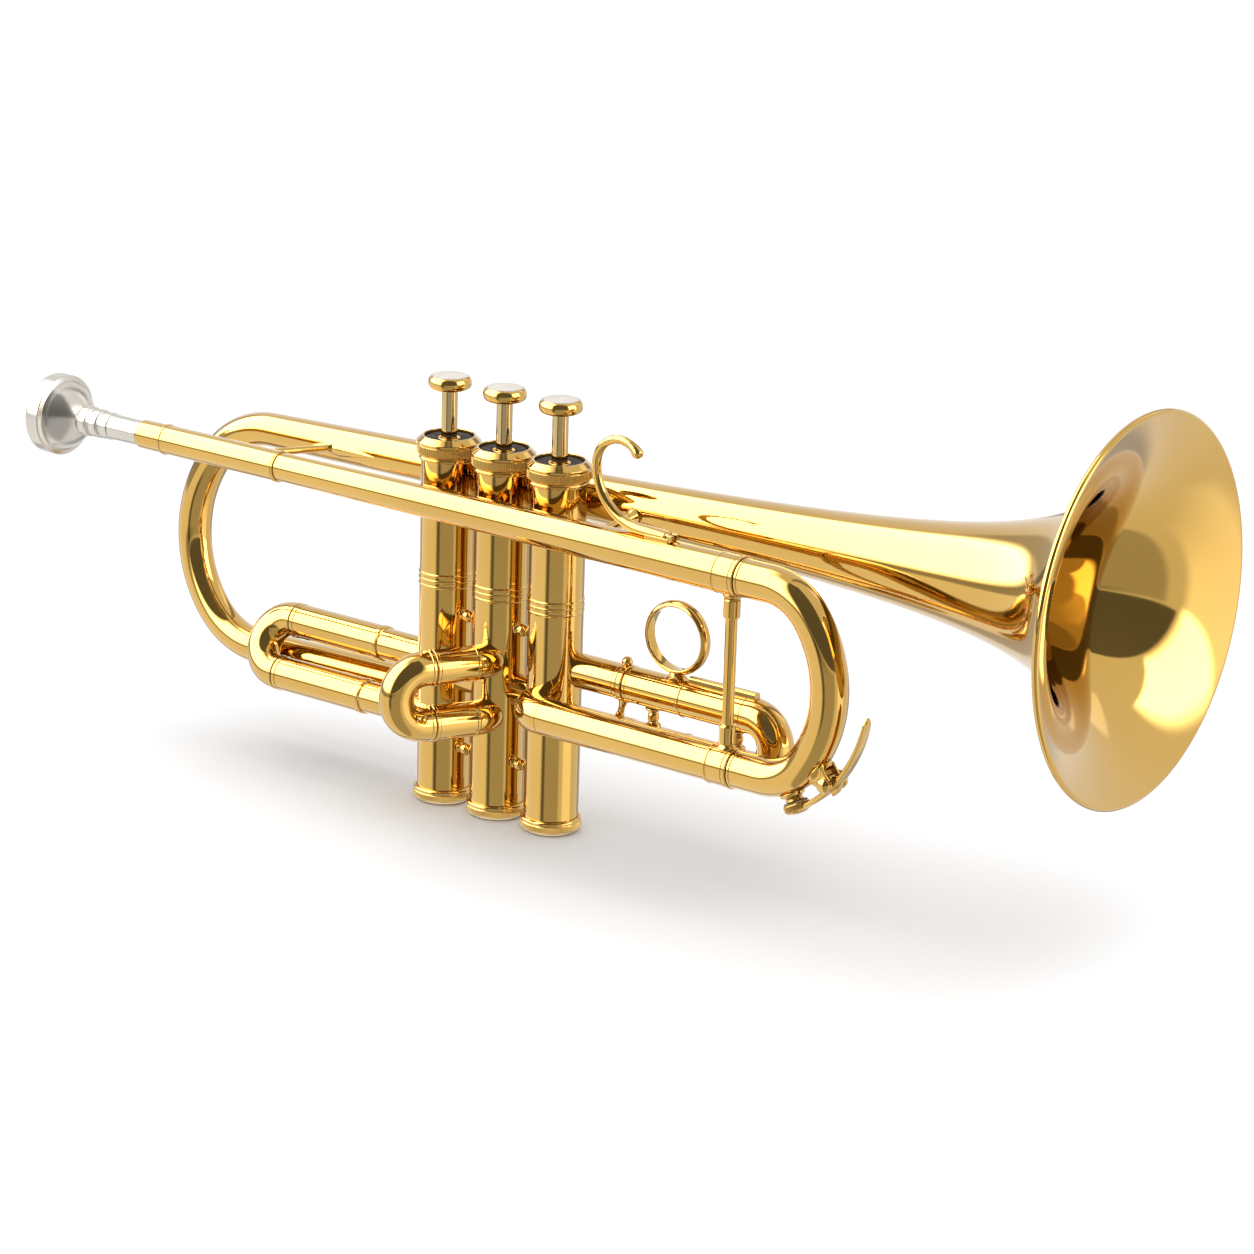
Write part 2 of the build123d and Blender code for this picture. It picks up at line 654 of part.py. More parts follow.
with BuildPart() as second_tubes:
    for z in (second_upper_z, second_lower_z):
        with BuildLine(Plane.XY.offset(z)) as elbow:
            Line(exit_dir * 3 + Vector(0, 0, z), exit_dir * second_bend_start + Vector(0, 0, z))
            CenterArc((bend_centre.X, bend_centre.Y), second_bend_r,
                      second_exit + 90, -second_turn)
        pipe(elbow.wire(), slide_r, slide_bore)
        turn([(0, slide_bore), (0, slide_r + 0.15), (0.8, slide_r + 0.15), (1.0, slide_r),
              (second_length - 1.2, slide_r), (second_length - 1.0, slide_r + 0.25),
              (second_length, slide_r + 0.25), (second_length, slide_bore)], second_line(z))
    trim_casings(2)
finish_piece(second_tubes, "second_slide_tubes")

second_half = (second_upper_z - second_lower_z) / 2
second_arch = second_length + stop_gap + second_bow_run
with BuildPart() as second_bow:
    middle = second_line((second_upper_z + second_lower_z) / 2)
    arch_origin = middle.from_local_coords((second_arch, 0))
    pipe(bow_path(Plane(origin=arch_origin, x_dir=middle.x_dir, z_dir=middle.z_dir), second_half,
                  second_bow_run, second_half, 0), slide_r, slide_leg_r)
    for z in (second_upper_z, second_lower_z):
        start = second_length + stop_gap
        turn([(start, slide_leg_r), (start, slide_r + 0.25), (start + 1.0, slide_r + 0.25),
              (start + 1.2, slide_r), (start + 1.2, slide_leg_r)], second_line(z))
        turn([(1.0, slide_leg_r - 0.4), (1.0, slide_leg_r), (second_arch, slide_leg_r),
              (second_arch, slide_leg_r - 0.4)], second_line(z))
finish_piece(second_bow, "second_slide_bow")

# The third slide's outer sleeves ride on fixed inner tubes, pushed out by the finger ring.
sleeve_bore = port_r + sliding_fit
third_sleeve_r = sleeve_bore + sleeve_wall
third_sleeve_x = third_stop + stop_gap + 1.9
third_heights = (third_upper_z, third_lower_z)
with BuildPart() as third_tubes:
    for z in third_heights:
        turn([(valve_pitch + 3, port_r - tube_wall), (valve_pitch + 3, slide_r),
              (third_stop - 2.0, slide_r), (third_stop - 1.8, lip_r + 0.1),
              (third_stop + 1.6, lip_r + 0.1), (third_stop + 1.8, port_r),
              (third_end - 3, port_r), (third_end - 3, port_r - tube_wall)],
             axis_plane(third_y, z))
    with Locations((third_stop, third_y, third_upper_z + lip_r + 1.0)):
        Sphere(1.9)
    trim_casings(3)
finish_piece(third_tubes, "third_slide_tubes")

with BuildPart() as third_stay:
    rod_between((third_stop + 0.4, third_y, third_upper_z), (third_stop - 4, third_y, third_lower_z), 1.15)
    for z in third_heights:
        turn([(valve_pitch, 0), (valve_pitch, slide_r), (third_stop - 2.0, slide_r),
              (third_stop - 1.8, lip_r + 0.1), (third_stop + 1.6, lip_r + 0.1),
              (third_stop + 1.6, 0)], axis_plane(third_y, z), mode=Mode.SUBTRACT)
finish_piece(third_stay, "third_slide_stay")

with BuildPart() as third_sleeves:
    for z in third_heights:
        turn([(third_sleeve_x, sleeve_bore), (third_sleeve_x, third_sleeve_r),
              (third_ring - 0.6, third_sleeve_r), (third_ring - 0.4, third_sleeve_r + 0.2),
              (third_ring + 0.4, third_sleeve_r + 0.2), (third_ring + 0.6, third_sleeve_r - 0.1),
              (third_end, third_sleeve_r - 0.1), (third_end, sleeve_bore)], axis_plane(third_y, z))
finish_piece(third_sleeves, "third_slide_sleeves")

third_half = (third_upper_z - third_lower_z) / 2
third_mid_z = (third_upper_z + third_lower_z) / 2
with BuildPart() as third_bow:
    pipe(bow_path(Plane(origin=(third_end + third_bow_run, third_y, third_mid_z), x_dir=(1, 0, 0),
                        z_dir=(0, -1, 0)), third_half, third_bow_run, third_half, 0),
         third_sleeve_r, sleeve_bore)
finish_piece(third_bow, "third_slide_bow")

with BuildPart() as third_posts:
    for x in (62.5, 96.5):
        post = Plane(origin=(x, third_y, 0), x_dir=(0, 0, 1), z_dir=(0, 1, 0))
        low = third_lower_z + third_sleeve_r
        high = third_upper_z - third_sleeve_r
        turn([(low - 2, 0), (low - 2, 2.7), (low + 0.5, 2.7), (low + 1.7, 1.3), (high - 1.7, 1.3),
              (high - 0.5, 2.7), (high + 2, 2.7), (high + 2, 0)], post)
    for z in third_heights:
        turn([(third_sleeve_x, 0), (third_sleeve_x, third_sleeve_r), (third_ring, third_sleeve_r),
              (third_ring, third_sleeve_r - 0.1), (third_end, third_sleeve_r - 0.1),
              (third_end, 0)], axis_plane(third_y, z), mode=Mode.SUBTRACT)
finish_piece(third_posts, "third_slide_posts")

with BuildPart() as finger_ring:
    with BuildSketch(Plane(origin=(finger_ring_x, third_y, finger_ring_z), x_dir=(1, 0, 0),
                           z_dir=(0, 0, 1))) as section:
        with Locations((finger_ring_r - finger_ring_t / 2, 0)):
            RectangleRounded(finger_ring_t, finger_ring_w, 0.8)
    revolve(section.sketch, axis=Axis((finger_ring_x, third_y, finger_ring_z), (0, 1, 0)))
    with Locations((finger_ring_x, third_y, finger_ring_z - finger_ring_r - 0.4)):
        Box(4.4, 3.6, 2.4)
    with Locations(Location((finger_ring_x, third_y, third_upper_z), (0, 90, 0))):
        Cylinder(third_sleeve_r, 30, mode=Mode.SUBTRACT)
finish_piece(finger_ring, "finger_ring")

rail_base = third_upper_z + third_sleeve_r
with BuildPart() as rail:
    rail_start = third_ring + 1.0
    with Locations(((rail_start + rail_end) / 2, third_y, rail_base + rail_h / 2 - 0.3)):
        Box(rail_end - rail_start, rail_w, rail_h)
    chamfer(rail.edges().filter_by(Axis.X).group_by(Axis.Z)[-1], 0.4)
    for radius, start, end in ((third_sleeve_r - 0.1, third_ring, third_end),
                               (third_sleeve_r, third_end, rail_end + 1)):
        turn([(start, 0), (start, radius), (end, radius), (end, 0)],
             axis_plane(third_y, third_upper_z), mode=Mode.SUBTRACT)
finish_piece(rail, "third_slide_rail")

with BuildPart() as tail_stay:
    stay_x = -70.0
    tail_place = tail_start + bell_dir * (stay_x - tail_start.X)
    rod_between((stay_x, first_lower[0], first_lower[1]), tail_place, 1.1)
    with Locations(Location((stay_x, *first_lower), (0, 90, 0))):
        Cylinder(slide_r, 10, mode=Mode.SUBTRACT)
    with BuildSketch(Plane(origin=tail_place - bell_dir * 5, z_dir=bell_dir)) as core:
        Circle(bell_bow_r)
    extrude(core.sketch, amount=10, mode=Mode.SUBTRACT)
finish_piece(tail_stay, "tail_stay")

# ---- main tuning slide -------------------------------------------------------------------
main_bow_path = bow_path(bow_plane, bow_half, bow_run, bow_reach, bow_corner)
with BuildPart() as tuning_legs:
    for line in (lead_line, lower_line):
        turn([(bow_start - main_leg_length, main_leg_r - tube_wall),
              (bow_start - main_leg_length, main_leg_r), (bow_start + bow_run, main_leg_r),
              (bow_start + bow_run, main_leg_r - tube_wall)], line)
finish_piece(tuning_legs, "tuning_slide_legs")


def key_place(angle, stand):
    """A global point beside the tuning bow, at an angle round its lower corner."""
    return bow_plane.from_local_coords(bow_point(bow_half, bow_reach, bow_corner, angle, stand))


def key_plane(angle):
    """A plane whose x axis points straight out of the tuning bow at that angle."""
    outwards = Vector(sin(radians(angle)), 0, -cos(radians(angle)))
    return Plane(origin=key_place(angle, 0), x_dir=outwards, z_dir=outwards.cross(Vector(0, 1, 0)))


nipple_top = main_r + key_nipple_h
with BuildPart() as tuning_bow:
    pipe(main_bow_path, main_r, main_leg_r)
    nipple = key_plane(key_nipple_angle)
    turn([(main_r - 0.4, 0), (main_r - 0.4, key_nipple_r + 0.9), (main_r + 0.5, key_nipple_r + 0.6),
          (main_r + 1.0, key_nipple_r - 0.4), (nipple_top, key_nipple_r - 0.6), (nipple_top, 0)],
         nipple)
    turn([(main_r - 3, 0), (main_r - 3, 1.6), (nipple_top + 1, 1.6), (nipple_top + 1, 0)], nipple,
         mode=Mode.SUBTRACT)
finish_piece(tuning_bow, "tuning_bow")

pivot = key_place(key_pivot_angle, main_r + key_pivot_stand)
pivot_line = Plane(origin=(pivot.X, pivot.Y, pivot.Z), x_dir=(0, -1, 0), z_dir=(1, 0, 0))
half_width = key_width / 2
barrel_half = 1.4
ear = 1.2
with BuildPart() as saddle:
    seat = key_place(key_pivot_angle, main_r - 0.6)
    across = Vector(cos(radians(key_pivot_angle)), 0, sin(radians(key_pivot_angle)))
    for side in (-1, 1):
        middle_y = lead_y + side * (half_width + 0.15 + ear / 2)
        with BuildSketch(Plane.XZ.offset(-middle_y)) as cheek:
            with BuildLine():
                low = seat - across * 4.2
                high = seat + across * 4.2
                Polyline((low.X, low.Z), (high.X, high.Z),
                         (pivot.X + across.X * 2.2, pivot.Z + across.Z * 2.2),
                         (pivot.X - across.X * 2.2, pivot.Z - across.Z * 2.2), close=True)
            make_face()
            with Locations((pivot.X, pivot.Z)):
                Circle(key_barrel_r)
        extrude(cheek.sketch, amount=ear / 2, both=True)
    with BuildSketch(Plane(origin=seat, z_dir=key_plane(key_pivot_angle).x_dir, x_dir=(0, 1, 0))) as base:
        RectangleRounded(2 * (half_width + ear) + 0.3, 9.0, 2.0)
    extrude(base.sketch, amount=1.6)
    turn([(-6, 0), (-6, key_pin_r), (6, key_pin_r), (6, 0)], pivot_line, mode=Mode.SUBTRACT)
    pipe(main_bow_path, main_r, 0, mode=Mode.SUBTRACT)
finish_piece(saddle, "water_key_saddle")

with BuildPart() as lever:
    cup = key_plane(key_nipple_angle)
    cork_base = nipple_top + 0.05
    cup_top = cork_base + key_cork_h + 1.2
    turn([(cork_base + 0.5, key_cork_r), (cork_base + 0.5, key_pad_r - 0.2),
          (cork_base + 0.7, key_pad_r), (cup_top - 0.5, key_pad_r), (cup_top, key_pad_r - 0.6),
          (cup_top, 0), (cork_base + key_cork_h, 0), (cork_base + key_cork_h, key_cork_r)], cup)
    foot = key_place(key_nipple_angle, cup_top - 0.7)
    tip_x, tip_z = key_tip
    with BuildSketch(Plane.XZ.offset(-lead_y)) as blade:
        with BuildLine():
            outer_mid = (pivot.X + 6.4, pivot.Z + 4.2)
            inner_mid = (pivot.X + 4.0, pivot.Z + 4.4)
            ThreePointArc((foot.X, foot.Z - 1.2), outer_mid, (tip_x + 0.9, tip_z))
            Line((tip_x + 0.9, tip_z), (tip_x - 0.4, tip_z + 0.6))
            ThreePointArc((tip_x - 0.4, tip_z + 0.6), inner_mid, (foot.X, foot.Z + 0.5))
            Line((foot.X, foot.Z + 0.5), (foot.X, foot.Z - 1.2))
        make_face()
    extrude(blade.sketch, amount=half_width, both=True)
    turn([(0, 0), (0, key_cork_r), (cork_base + key_cork_h, key_cork_r),
          (cork_base + key_cork_h, 0)], cup, mode=Mode.SUBTRACT)
    turn([(-half_width - 0.1, 0), (-half_width - 0.1, key_coil_r + 0.3),
          (half_width + 0.1, key_coil_r + 0.3), (half_width + 0.1, 0)], pivot_line,
         mode=Mode.SUBTRACT)
    turn([(-barrel_half, 0), (-barrel_half, key_barrel_r), (barrel_half, key_barrel_r),
          (barrel_half, 0)], pivot_line)
    with BuildSketch(Plane.XZ.offset(-lead_y)) as web:
        Polygon((pivot.X, pivot.Z + 1.6), (pivot.X + 4.6, pivot.Z + 3.4),
                (pivot.X + 1.6, pivot.Z - 4.0), (pivot.X - 0.6, pivot.Z - 1.6), align=None)
    extrude(web.sketch, amount=barrel_half, both=True)
    turn([(-6, 0), (-6, key_pin_r + 0.05), (6, key_pin_r + 0.05), (6, 0)], pivot_line,
         mode=Mode.SUBTRACT)
finish_piece(lever, "water_key_lever")

with BuildPart() as cork:
    turn([(cork_base, 0), (cork_base, key_cork_r), (cork_base + key_cork_h, key_cork_r),
          (cork_base + key_cork_h, 0)], cup)
finish_piece(cork, "water_key_cork")

with BuildPart() as pin:
    outside = half_width + 0.15 + ear
    turn([(-outside - 0.8, 0), (-outside - 0.8, 1.0), (-outside - 0.5, 1.7), (-outside, 1.9),
          (-outside, key_pin_r), (outside, key_pin_r), (outside, 1.9), (outside + 0.5, 1.7),
          (outside + 0.8, 1.0), (outside + 0.8, 0)], pivot_line)
finish_piece(pin, "water_key_pin")

with BuildPart() as key_spring:
    for side in (-1, 1):
        coil_start = barrel_half + 0.1
        outline = [(side * coil_start, key_pin_r + 0.15)]
        for loop in range(3):
            near = coil_start + 0.32 * loop
            outline += [(side * near, key_coil_r - 0.2), (side * (near + 0.16), key_coil_r)]
        outline += [(side * (half_width - 0.04), key_coil_r - 0.2),
                    (side * (half_width - 0.04), key_pin_r + 0.15)]
        turn(outline, pivot_line)
finish_piece(key_spring, "water_key_spring")

# ---- mouthpiece ----------------------------------------------------------------------------
with BuildPart() as mouthpiece:
    with BuildSketch(lead_line) as profile:
        with BuildLine():
            Polyline((rim_x + 1.3, rim_r), (-185.6, rim_r), (-185.1, 13.9), (-185.0, 12.6))
            ThreePointArc((-185.0, 12.6), (-184.6, 12.2), (-184.2, 11.9))
            ThreePointArc((-184.2, 11.9), (-180.4, 9.2), (-175.6, 4.6))
            Polyline((-175.6, 4.6), (-175.4, 5.2), (-171.2, 5.2), (-171.0, 4.4), (-170.2, 4.4),
                     (-170.0, 5.0), (-166.2, 5.0), (-166.0, 4.3), (-165.2, 4.3), (-165.0, 4.8),
                     (-161.2, 4.7), (-160.8, shank_r + 0.3), (receiver_start - 1.0, shank_r + 0.2),
                     (receiver_start - 0.3, shank_r), (shank_end, shank_r), (shank_end, 3.6),
                     (-172.0, 1.9), (-179.0, 1.9))
            ThreePointArc((-179.0, 1.9), (-183.4, 6.6), (-188.8, 8.3))
            ThreePointArc((-188.8, 8.3), (rim_x, 10.9), (rim_x + 1.3, rim_r))
        make_face()
    revolve(profile.sketch, axis=Axis(lead_line.origin, (1, 0, 0)))
finish_piece(mouthpiece, "mouthpiece")
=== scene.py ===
"""A piston trumpet: smooth metal surfaces, finishes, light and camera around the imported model.

Lengths are in millimetres until a mesh is written, which turns them into metres.
"""

import math

import bpy
import numpy as np
from mathutils import Matrix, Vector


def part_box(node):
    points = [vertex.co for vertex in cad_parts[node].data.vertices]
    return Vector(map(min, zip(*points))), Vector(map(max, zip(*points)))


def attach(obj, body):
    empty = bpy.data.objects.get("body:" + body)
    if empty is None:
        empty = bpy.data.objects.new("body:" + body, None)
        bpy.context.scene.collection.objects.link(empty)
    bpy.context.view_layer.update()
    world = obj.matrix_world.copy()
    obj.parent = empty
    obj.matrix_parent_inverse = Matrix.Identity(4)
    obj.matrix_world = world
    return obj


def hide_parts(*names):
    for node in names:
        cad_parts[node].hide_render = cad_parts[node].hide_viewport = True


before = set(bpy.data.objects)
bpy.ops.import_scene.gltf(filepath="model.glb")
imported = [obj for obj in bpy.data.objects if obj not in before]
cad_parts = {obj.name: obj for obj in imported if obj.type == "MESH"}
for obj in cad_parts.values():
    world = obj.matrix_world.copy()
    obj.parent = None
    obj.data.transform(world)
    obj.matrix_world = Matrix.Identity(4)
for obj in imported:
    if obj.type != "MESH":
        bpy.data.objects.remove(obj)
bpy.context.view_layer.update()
MM = 0.001
X, Y, Z = np.eye(3)


# ---- places read from the frame
def corners(node):
    """Lowest and highest corner of a CAD node in millimetres."""
    low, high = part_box(node)
    return np.array(low) / MM, np.array(high) / MM


def middle(node):
    """Centre of a CAD node's box in millimetres."""
    return sum(corners(node)) / 2


def unit(vector):
    """The vector at length one."""
    return np.asarray(vector, float) / np.linalg.norm(vector)


# ---- paths
class Route:
    """A path of straight runs and arcs in one plane, read by the distance along it.
    Each move is (length, degrees turned towards side), and both ends run on straight."""

    def __init__(self, start, along, side, moves=()):
        self.start = np.asarray(start, float)
        self.along = unit(along)
        self.side = unit(side - np.dot(side, self.along) * self.along)
        lengths = np.array([0.0] + [m[0] for m in moves] + [1.0])
        turns = np.radians([0.0] + [m[1] for m in moves] + [0.0])
        self.ends = np.cumsum(lengths)
        self.length = float(self.ends[-2])
        self.starts = np.concatenate([[0.0], self.ends[:-1]])
        self.bends = turns / np.maximum(lengths, 1e-9)
        self.headings = np.concatenate([[0.0], np.cumsum(turns)[:-1]])
        self.corners = np.zeros((len(lengths), 2))
        for i in range(1, len(lengths)):
            self.corners[i] = self._place(i - 1, lengths[i - 1])

    def _place(self, piece, step):
        """Place in the plane after a step along one piece: an arc of constant bend."""
        bend, heading = self.bends[piece], self.headings[piece]
        half = bend * step / 2
        chord = step * np.sinc(half / math.pi)
        way = np.stack([np.cos(heading + half), np.sin(heading + half)], -1)
        return self.corners[piece] + np.expand_dims(chord, -1) * way

    def frames(self, distance):
        """Point, heading, in-plane normal and plane normal at each distance."""
        piece = np.clip(np.searchsorted(self.ends, distance, side="left"), 0, len(self.ends) - 1)
        step = distance - self.starts[piece]
        flat = self._place(piece, step)
        heading = self.headings[piece] + self.bends[piece] * step
        cos, sin = np.cos(heading)[:, None], np.sin(heading)[:, None]
        across = np.cross(self.along, self.side)
        point = self.start + flat[:, :1] * self.along + flat[:, 1:] * self.side
        return (point, cos * self.along + sin * self.side, cos * self.side - sin * self.along,
                np.broadcast_to(across, point.shape))


def level(y, z):
    """A line along +X read by its x."""
    return Route((0, y, z), X, Z)


def upright(x, y=0.0):
    """A line along +Z read by its height."""
    return Route((x, y, 0), Z, X)


def arch(half, reach, corner):
    """Moves round a three-centred arch: a corner arc, a side arc and a corner arc."""
    if abs(reach - half) < 0.01:
        return [(math.pi * half, 180.0)]
    turned = 90 - 2 * math.degrees(math.atan2(reach - corner, half - corner))
    side = corner + (half - corner) / math.cos(math.radians(turned))
    bend = (math.radians(turned) * corner, turned)
    return [bend, (math.radians(180 - 2 * turned) * side, 180 - 2 * turned), bend]


# ---- surfaces
def soften(outline, size, closed=True):
    """Each corner of an outline becomes an arc that starts `size` before it, or less on a
    short side. Returns the points and the outward normals, which turn evenly on each arc."""
    p = np.array(outline, float)
    into, out = p - np.roll(p, 1, 0), np.roll(p, -1, 0) - p
    long_in, long_out = np.linalg.norm(into, axis=1), np.linalg.norm(out, axis=1)
    into, out = into / long_in[:, None], out / long_out[:, None]
    turn = np.arctan2(into[:, 0] * out[:, 1] - into[:, 1] * out[:, 0], (into * out).sum(1))
    cut = np.minimum(size, 0.42 * np.minimum(long_in, long_out))
    area = (p[:, 0] * np.roll(p, -1, 0)[:, 1] - p[:, 1] * np.roll(p, -1, 0)[:, 0]).sum()
    facing = 1.0 if area > 0 else -1.0
    points, normals = [], []
    for i in range(len(p)):
        if not closed and i in (0, len(p) - 1):
            way = out[i] if i == 0 else into[i]
            points.append(p[i:i + 1])
            normals.append(facing * np.array([[way[1], -way[0]]]))
            continue
        t = np.linspace(0, 1, 2 + int(abs(turn[i]) / math.radians(14)))
        left = np.array([-into[i, 1], into[i, 0]])
        a = (turn[i] * t)[:, None]
        turned = np.cos(a) * left + np.sin(a) * np.array([-left[1], left[0]])
        if abs(turn[i]) < 0.01:
            points.append(p[i:i + 1])
            normals.append(-facing * turned[:1])
            continue
        radius = cut[i] / math.tan(turn[i] / 2)
        points.append(p[i] - into[i] * cut[i] + radius * (left - turned))
        normals.append(-facing * turned)
    return np.concatenate(points), np.concatenate(normals)


def divide(points, normals, stride, closed):
    """Adds points on the long sides of a softened outline, at most one stride apart."""
    if closed:
        points, normals = np.vstack([points, points[:1]]), np.vstack([normals, normals[:1]])
    parts = np.maximum(1, np.ceil(np.abs(np.diff(points[:, 0])) / stride)).astype(int)
    at = np.concatenate([i + np.arange(n) / n for i, n in enumerate(parts)] + [[len(parts)]])
    if closed:
        at = at[:-1]
    index = np.arange(len(points))
    mixed = [np.interp(at, index, column) for column in np.hstack([points, normals]).T]
    return np.stack(mixed[:2], 1), np.stack(mixed[2:], 1)


def shift(along, radius, *rows):
    """Points of an outline, given as steps from a place along the line and a radius."""
    return [(along + a, radius + r) for a, r in rows]


def mirrored(start, end, *rows, radius=0.0):
    """An outline that reads the same from both ends: steps from the start, then back
    from the end."""
    back = [(-a, r) for a, r in rows[::-1]]
    return shift(start, radius, *rows) + shift(end, radius, *back)


def skin(points, normals, closed):
    """A grid of points (along, around) as one closed shell: its rings are joined end to
    end, or its first and last rings, which are poles, become single points."""
    rows, ring = points.shape[:2]
    if closed:
        index = np.arange(rows * ring).reshape(rows, ring)
        index = np.vstack([index, index[:1]])
        v, n, tris = points.reshape(-1, 3), normals.reshape(-1, 3), np.zeros((0, 3), int)
    else:
        first = (rows - 2) * ring
        index = np.arange(first).reshape(rows - 2, ring)
        v = np.concatenate([points[1:-1].reshape(-1, 3), points[0, :1], points[-1, :1]])
        n = np.concatenate([normals[1:-1].reshape(-1, 3), normals[0, :1], normals[-1, :1]])
    right = np.roll(index, -1, 1)
    quads = np.stack([index[:-1], right[:-1], right[1:], index[1:]], -1).reshape(-1, 4)
    if not closed:
        tris = np.concatenate([np.stack([np.full(ring, first), right[0], index[0]], -1),
                               np.stack([np.full(ring, first + 1), index[-1], right[-1]], -1)])
    a, b, c = v[quads[:, 0]], v[quads[:, 1]], v[quads[:, 2]]
    facing = (np.cross(b - a, c - a) * n[quads].sum(1)).sum()
    if facing < 0:
        quads, tris = quads[:, ::-1], tris[:, ::-1]
    return v, n, quads, tris


def carried(outline, route, steps=64, size=0.12, closed=True, stride=400.0, knurl=None):
    """An outline of (along, radius) carried round a route's line: point = line + radius *
    (cos * in-plane normal + sin * plane normal). A knurl is (start, end, teeth, depth):
    between those two places the radius falls by depth * (1 - cos(teeth * angle)) / 2."""
    ready = isinstance(outline, tuple)
    points, normals = outline if ready else soften(outline, size, closed)
    points, normals = divide(points, normals, stride, closed)
    if knurl:
        steps = knurl[2] * 4
    angle = np.linspace(0, 2 * math.pi, steps, endpoint=False)[None, :, None]
    centre, heading, side, across = (part[:, None, :] for part in route.frames(points[:, 0]))
    outward = np.cos(angle) * side + np.sin(angle) * across
    around = np.cos(angle) * across - np.sin(angle) * side
    radius = points[:, 1][:, None, None]
    slope = 0.0
    if knurl:
        start, end, teeth, depth = knurl
        inside = (points[:, 0] > start) & (points[:, 0] < end) & (normals[:, 1] > 0.5)
        cutting = depth * inside[:, None, None]
        radius = radius - cutting * (1 - np.cos(teeth * angle)) / 2
        slope = -cutting * teeth * np.sin(teeth * angle) / 2 / np.maximum(radius, 0.1)
    facing = normals[:, :1][:, None, :] * heading + normals[:, 1:][:, None, :] * (outward - slope * around)
    return skin(centre + radius * outward, facing, closed)


def tube(route, outer, inner, start=0.0, end=None, steps=56, stride=1.3):
    """A round tube with a wall along a route."""
    end = route.length if end is None else end
    return carried([(start, inner), (start, outer), (end, outer), (end, inner)], route, steps,
                   0.1, stride=stride)


def grid_normals(points, centre, spare):
    """Unit normals of a grid, from the cross product of its steps around and along, turned
    away from its centre line. Where a step is zero they are `spare`."""
    around = np.roll(points, -1, 1) - np.roll(points, 1, 1)
    normals = np.cross(around, np.gradient(points, axis=0))
    size = np.linalg.norm(normals, axis=-1, keepdims=True)
    normals = np.where(size > 1e-9, normals / np.maximum(size, 1e-9), spare)
    return -normals if (normals * (points - centre)).sum() < 0 else normals


def bar(route, distance, wide, thick, power=0.55, steps=32):
    """A bar with rounded ends: at each distance its section is a superellipse that reaches
    `wide` across the plane and `thick` in it. cos and sin are raised to the power."""
    angle = np.linspace(0, 2 * math.pi, steps, endpoint=False)[None, :, None]
    cos, sin = np.cos(angle), np.sin(angle)
    centre, heading, side, across = (part[:, None, :] for part in route.frames(distance))
    points = (centre + thick[:, None, None] * np.sign(cos) * np.abs(cos) ** power * side
              + wide[:, None, None] * np.sign(sin) * np.abs(sin) ** power * across)
    normals = grid_normals(points, centre, points - centre)
    normals[0], normals[-1] = -heading[0], heading[-1]
    return skin(points, normals, False)


def plate(outline, origin, along, side, half, size=0.25):
    """A flat plate: an outline in the plane of along and side, thickened by `half` each
    way, with its rim rounded by `size`. Its faces are fans about the outline's centre."""
    flat, out = soften(outline, size)
    along, side = unit(along), unit(side)
    up = np.cross(along, side)
    turn = np.radians([-90, -60, -30, 0, 0, 30, 60, 90])
    inset = (size * (1 - np.cos(turn)))[:, None, None]
    height = (np.sign(turn) * (half - size) + size * np.sin(turn))
    height[3], height[4] = -(half - size), half - size
    ring = flat[None] - inset * out[None]
    points = origin + ring[..., :1] * along + ring[..., 1:] * side + height[:, None, None] * up
    lean = (np.cos(turn)[:, None, None] * (out[:, :1] * along + out[:, 1:] * side)
            + np.sin(turn)[:, None, None] * up)
    hub = np.broadcast_to(origin + flat.mean(0)[0] * along + flat.mean(0)[1] * side, flat.shape[:1] + (3,))
    points = np.concatenate([(hub - half * up)[None], points, (hub + half * up)[None]])
    flat_up = np.broadcast_to(up, flat.shape[:1] + (3,))
    normals = np.concatenate([-flat_up[None], lean, flat_up[None]])
    return skin(points, normals, False)


def meet(shell, x, outward, wall=8.9):
    """Ends a tube on a valve casing: no point is nearer to the valve's axis, measured
    along the outward direction, than the middle of the casing's wall."""
    v, n, quads, tris = shell
    outward = unit([outward[0], outward[1], 0])
    away = v - np.array([x, 0, 0])
    reach = away @ outward
    aside = away @ np.cross(Z, outward)
    least = np.sqrt(np.maximum(wall ** 2 - aside ** 2, 0))
    return v + np.maximum(least - reach, 0)[:, None] * outward, n, quads, tris


def piece(name, body, material, shells, node):
    """One object from closed shells, which rides on a body and stands for a CAD node."""
    v = np.concatenate([s[0] for s in shells]) * MM
    n = np.concatenate([s[1] for s in shells])
    starts = np.cumsum([0] + [len(s[0]) for s in shells])
    quads = np.concatenate([s[2] + k for s, k in zip(shells, starts)])
    tris = np.concatenate([s[3] + k for s, k in zip(shells, starts)])
    mesh = bpy.data.meshes.new(name)
    mesh.vertices.add(len(v))
    mesh.vertices.foreach_set("co", v.astype(np.float32).ravel())
    loops = np.concatenate([quads.ravel(), tris.ravel()]).astype(np.int32)
    mesh.loops.add(len(loops))
    mesh.loops.foreach_set("vertex_index", loops)
    begins = np.concatenate([np.arange(len(quads)) * 4, len(quads) * 4 + np.arange(len(tris)) * 3])
    mesh.polygons.add(len(begins))
    mesh.polygons.foreach_set("loop_start", begins.astype(np.int32))
    mesh.update(calc_edges=True)
    mesh.validate()
    mesh.polygons.foreach_set("use_smooth", np.ones(len(mesh.polygons), bool))
    n = n / np.maximum(np.linalg.norm(n, axis=1, keepdims=True), 1e-9)
    mesh.normals_split_custom_set_from_vertices(n.tolist())
    mesh.materials.append(material)
    made = bpy.data.objects.new(name, mesh)
    bpy.context.scene.collection.objects.link(made)
    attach(made, body)
    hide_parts(node)


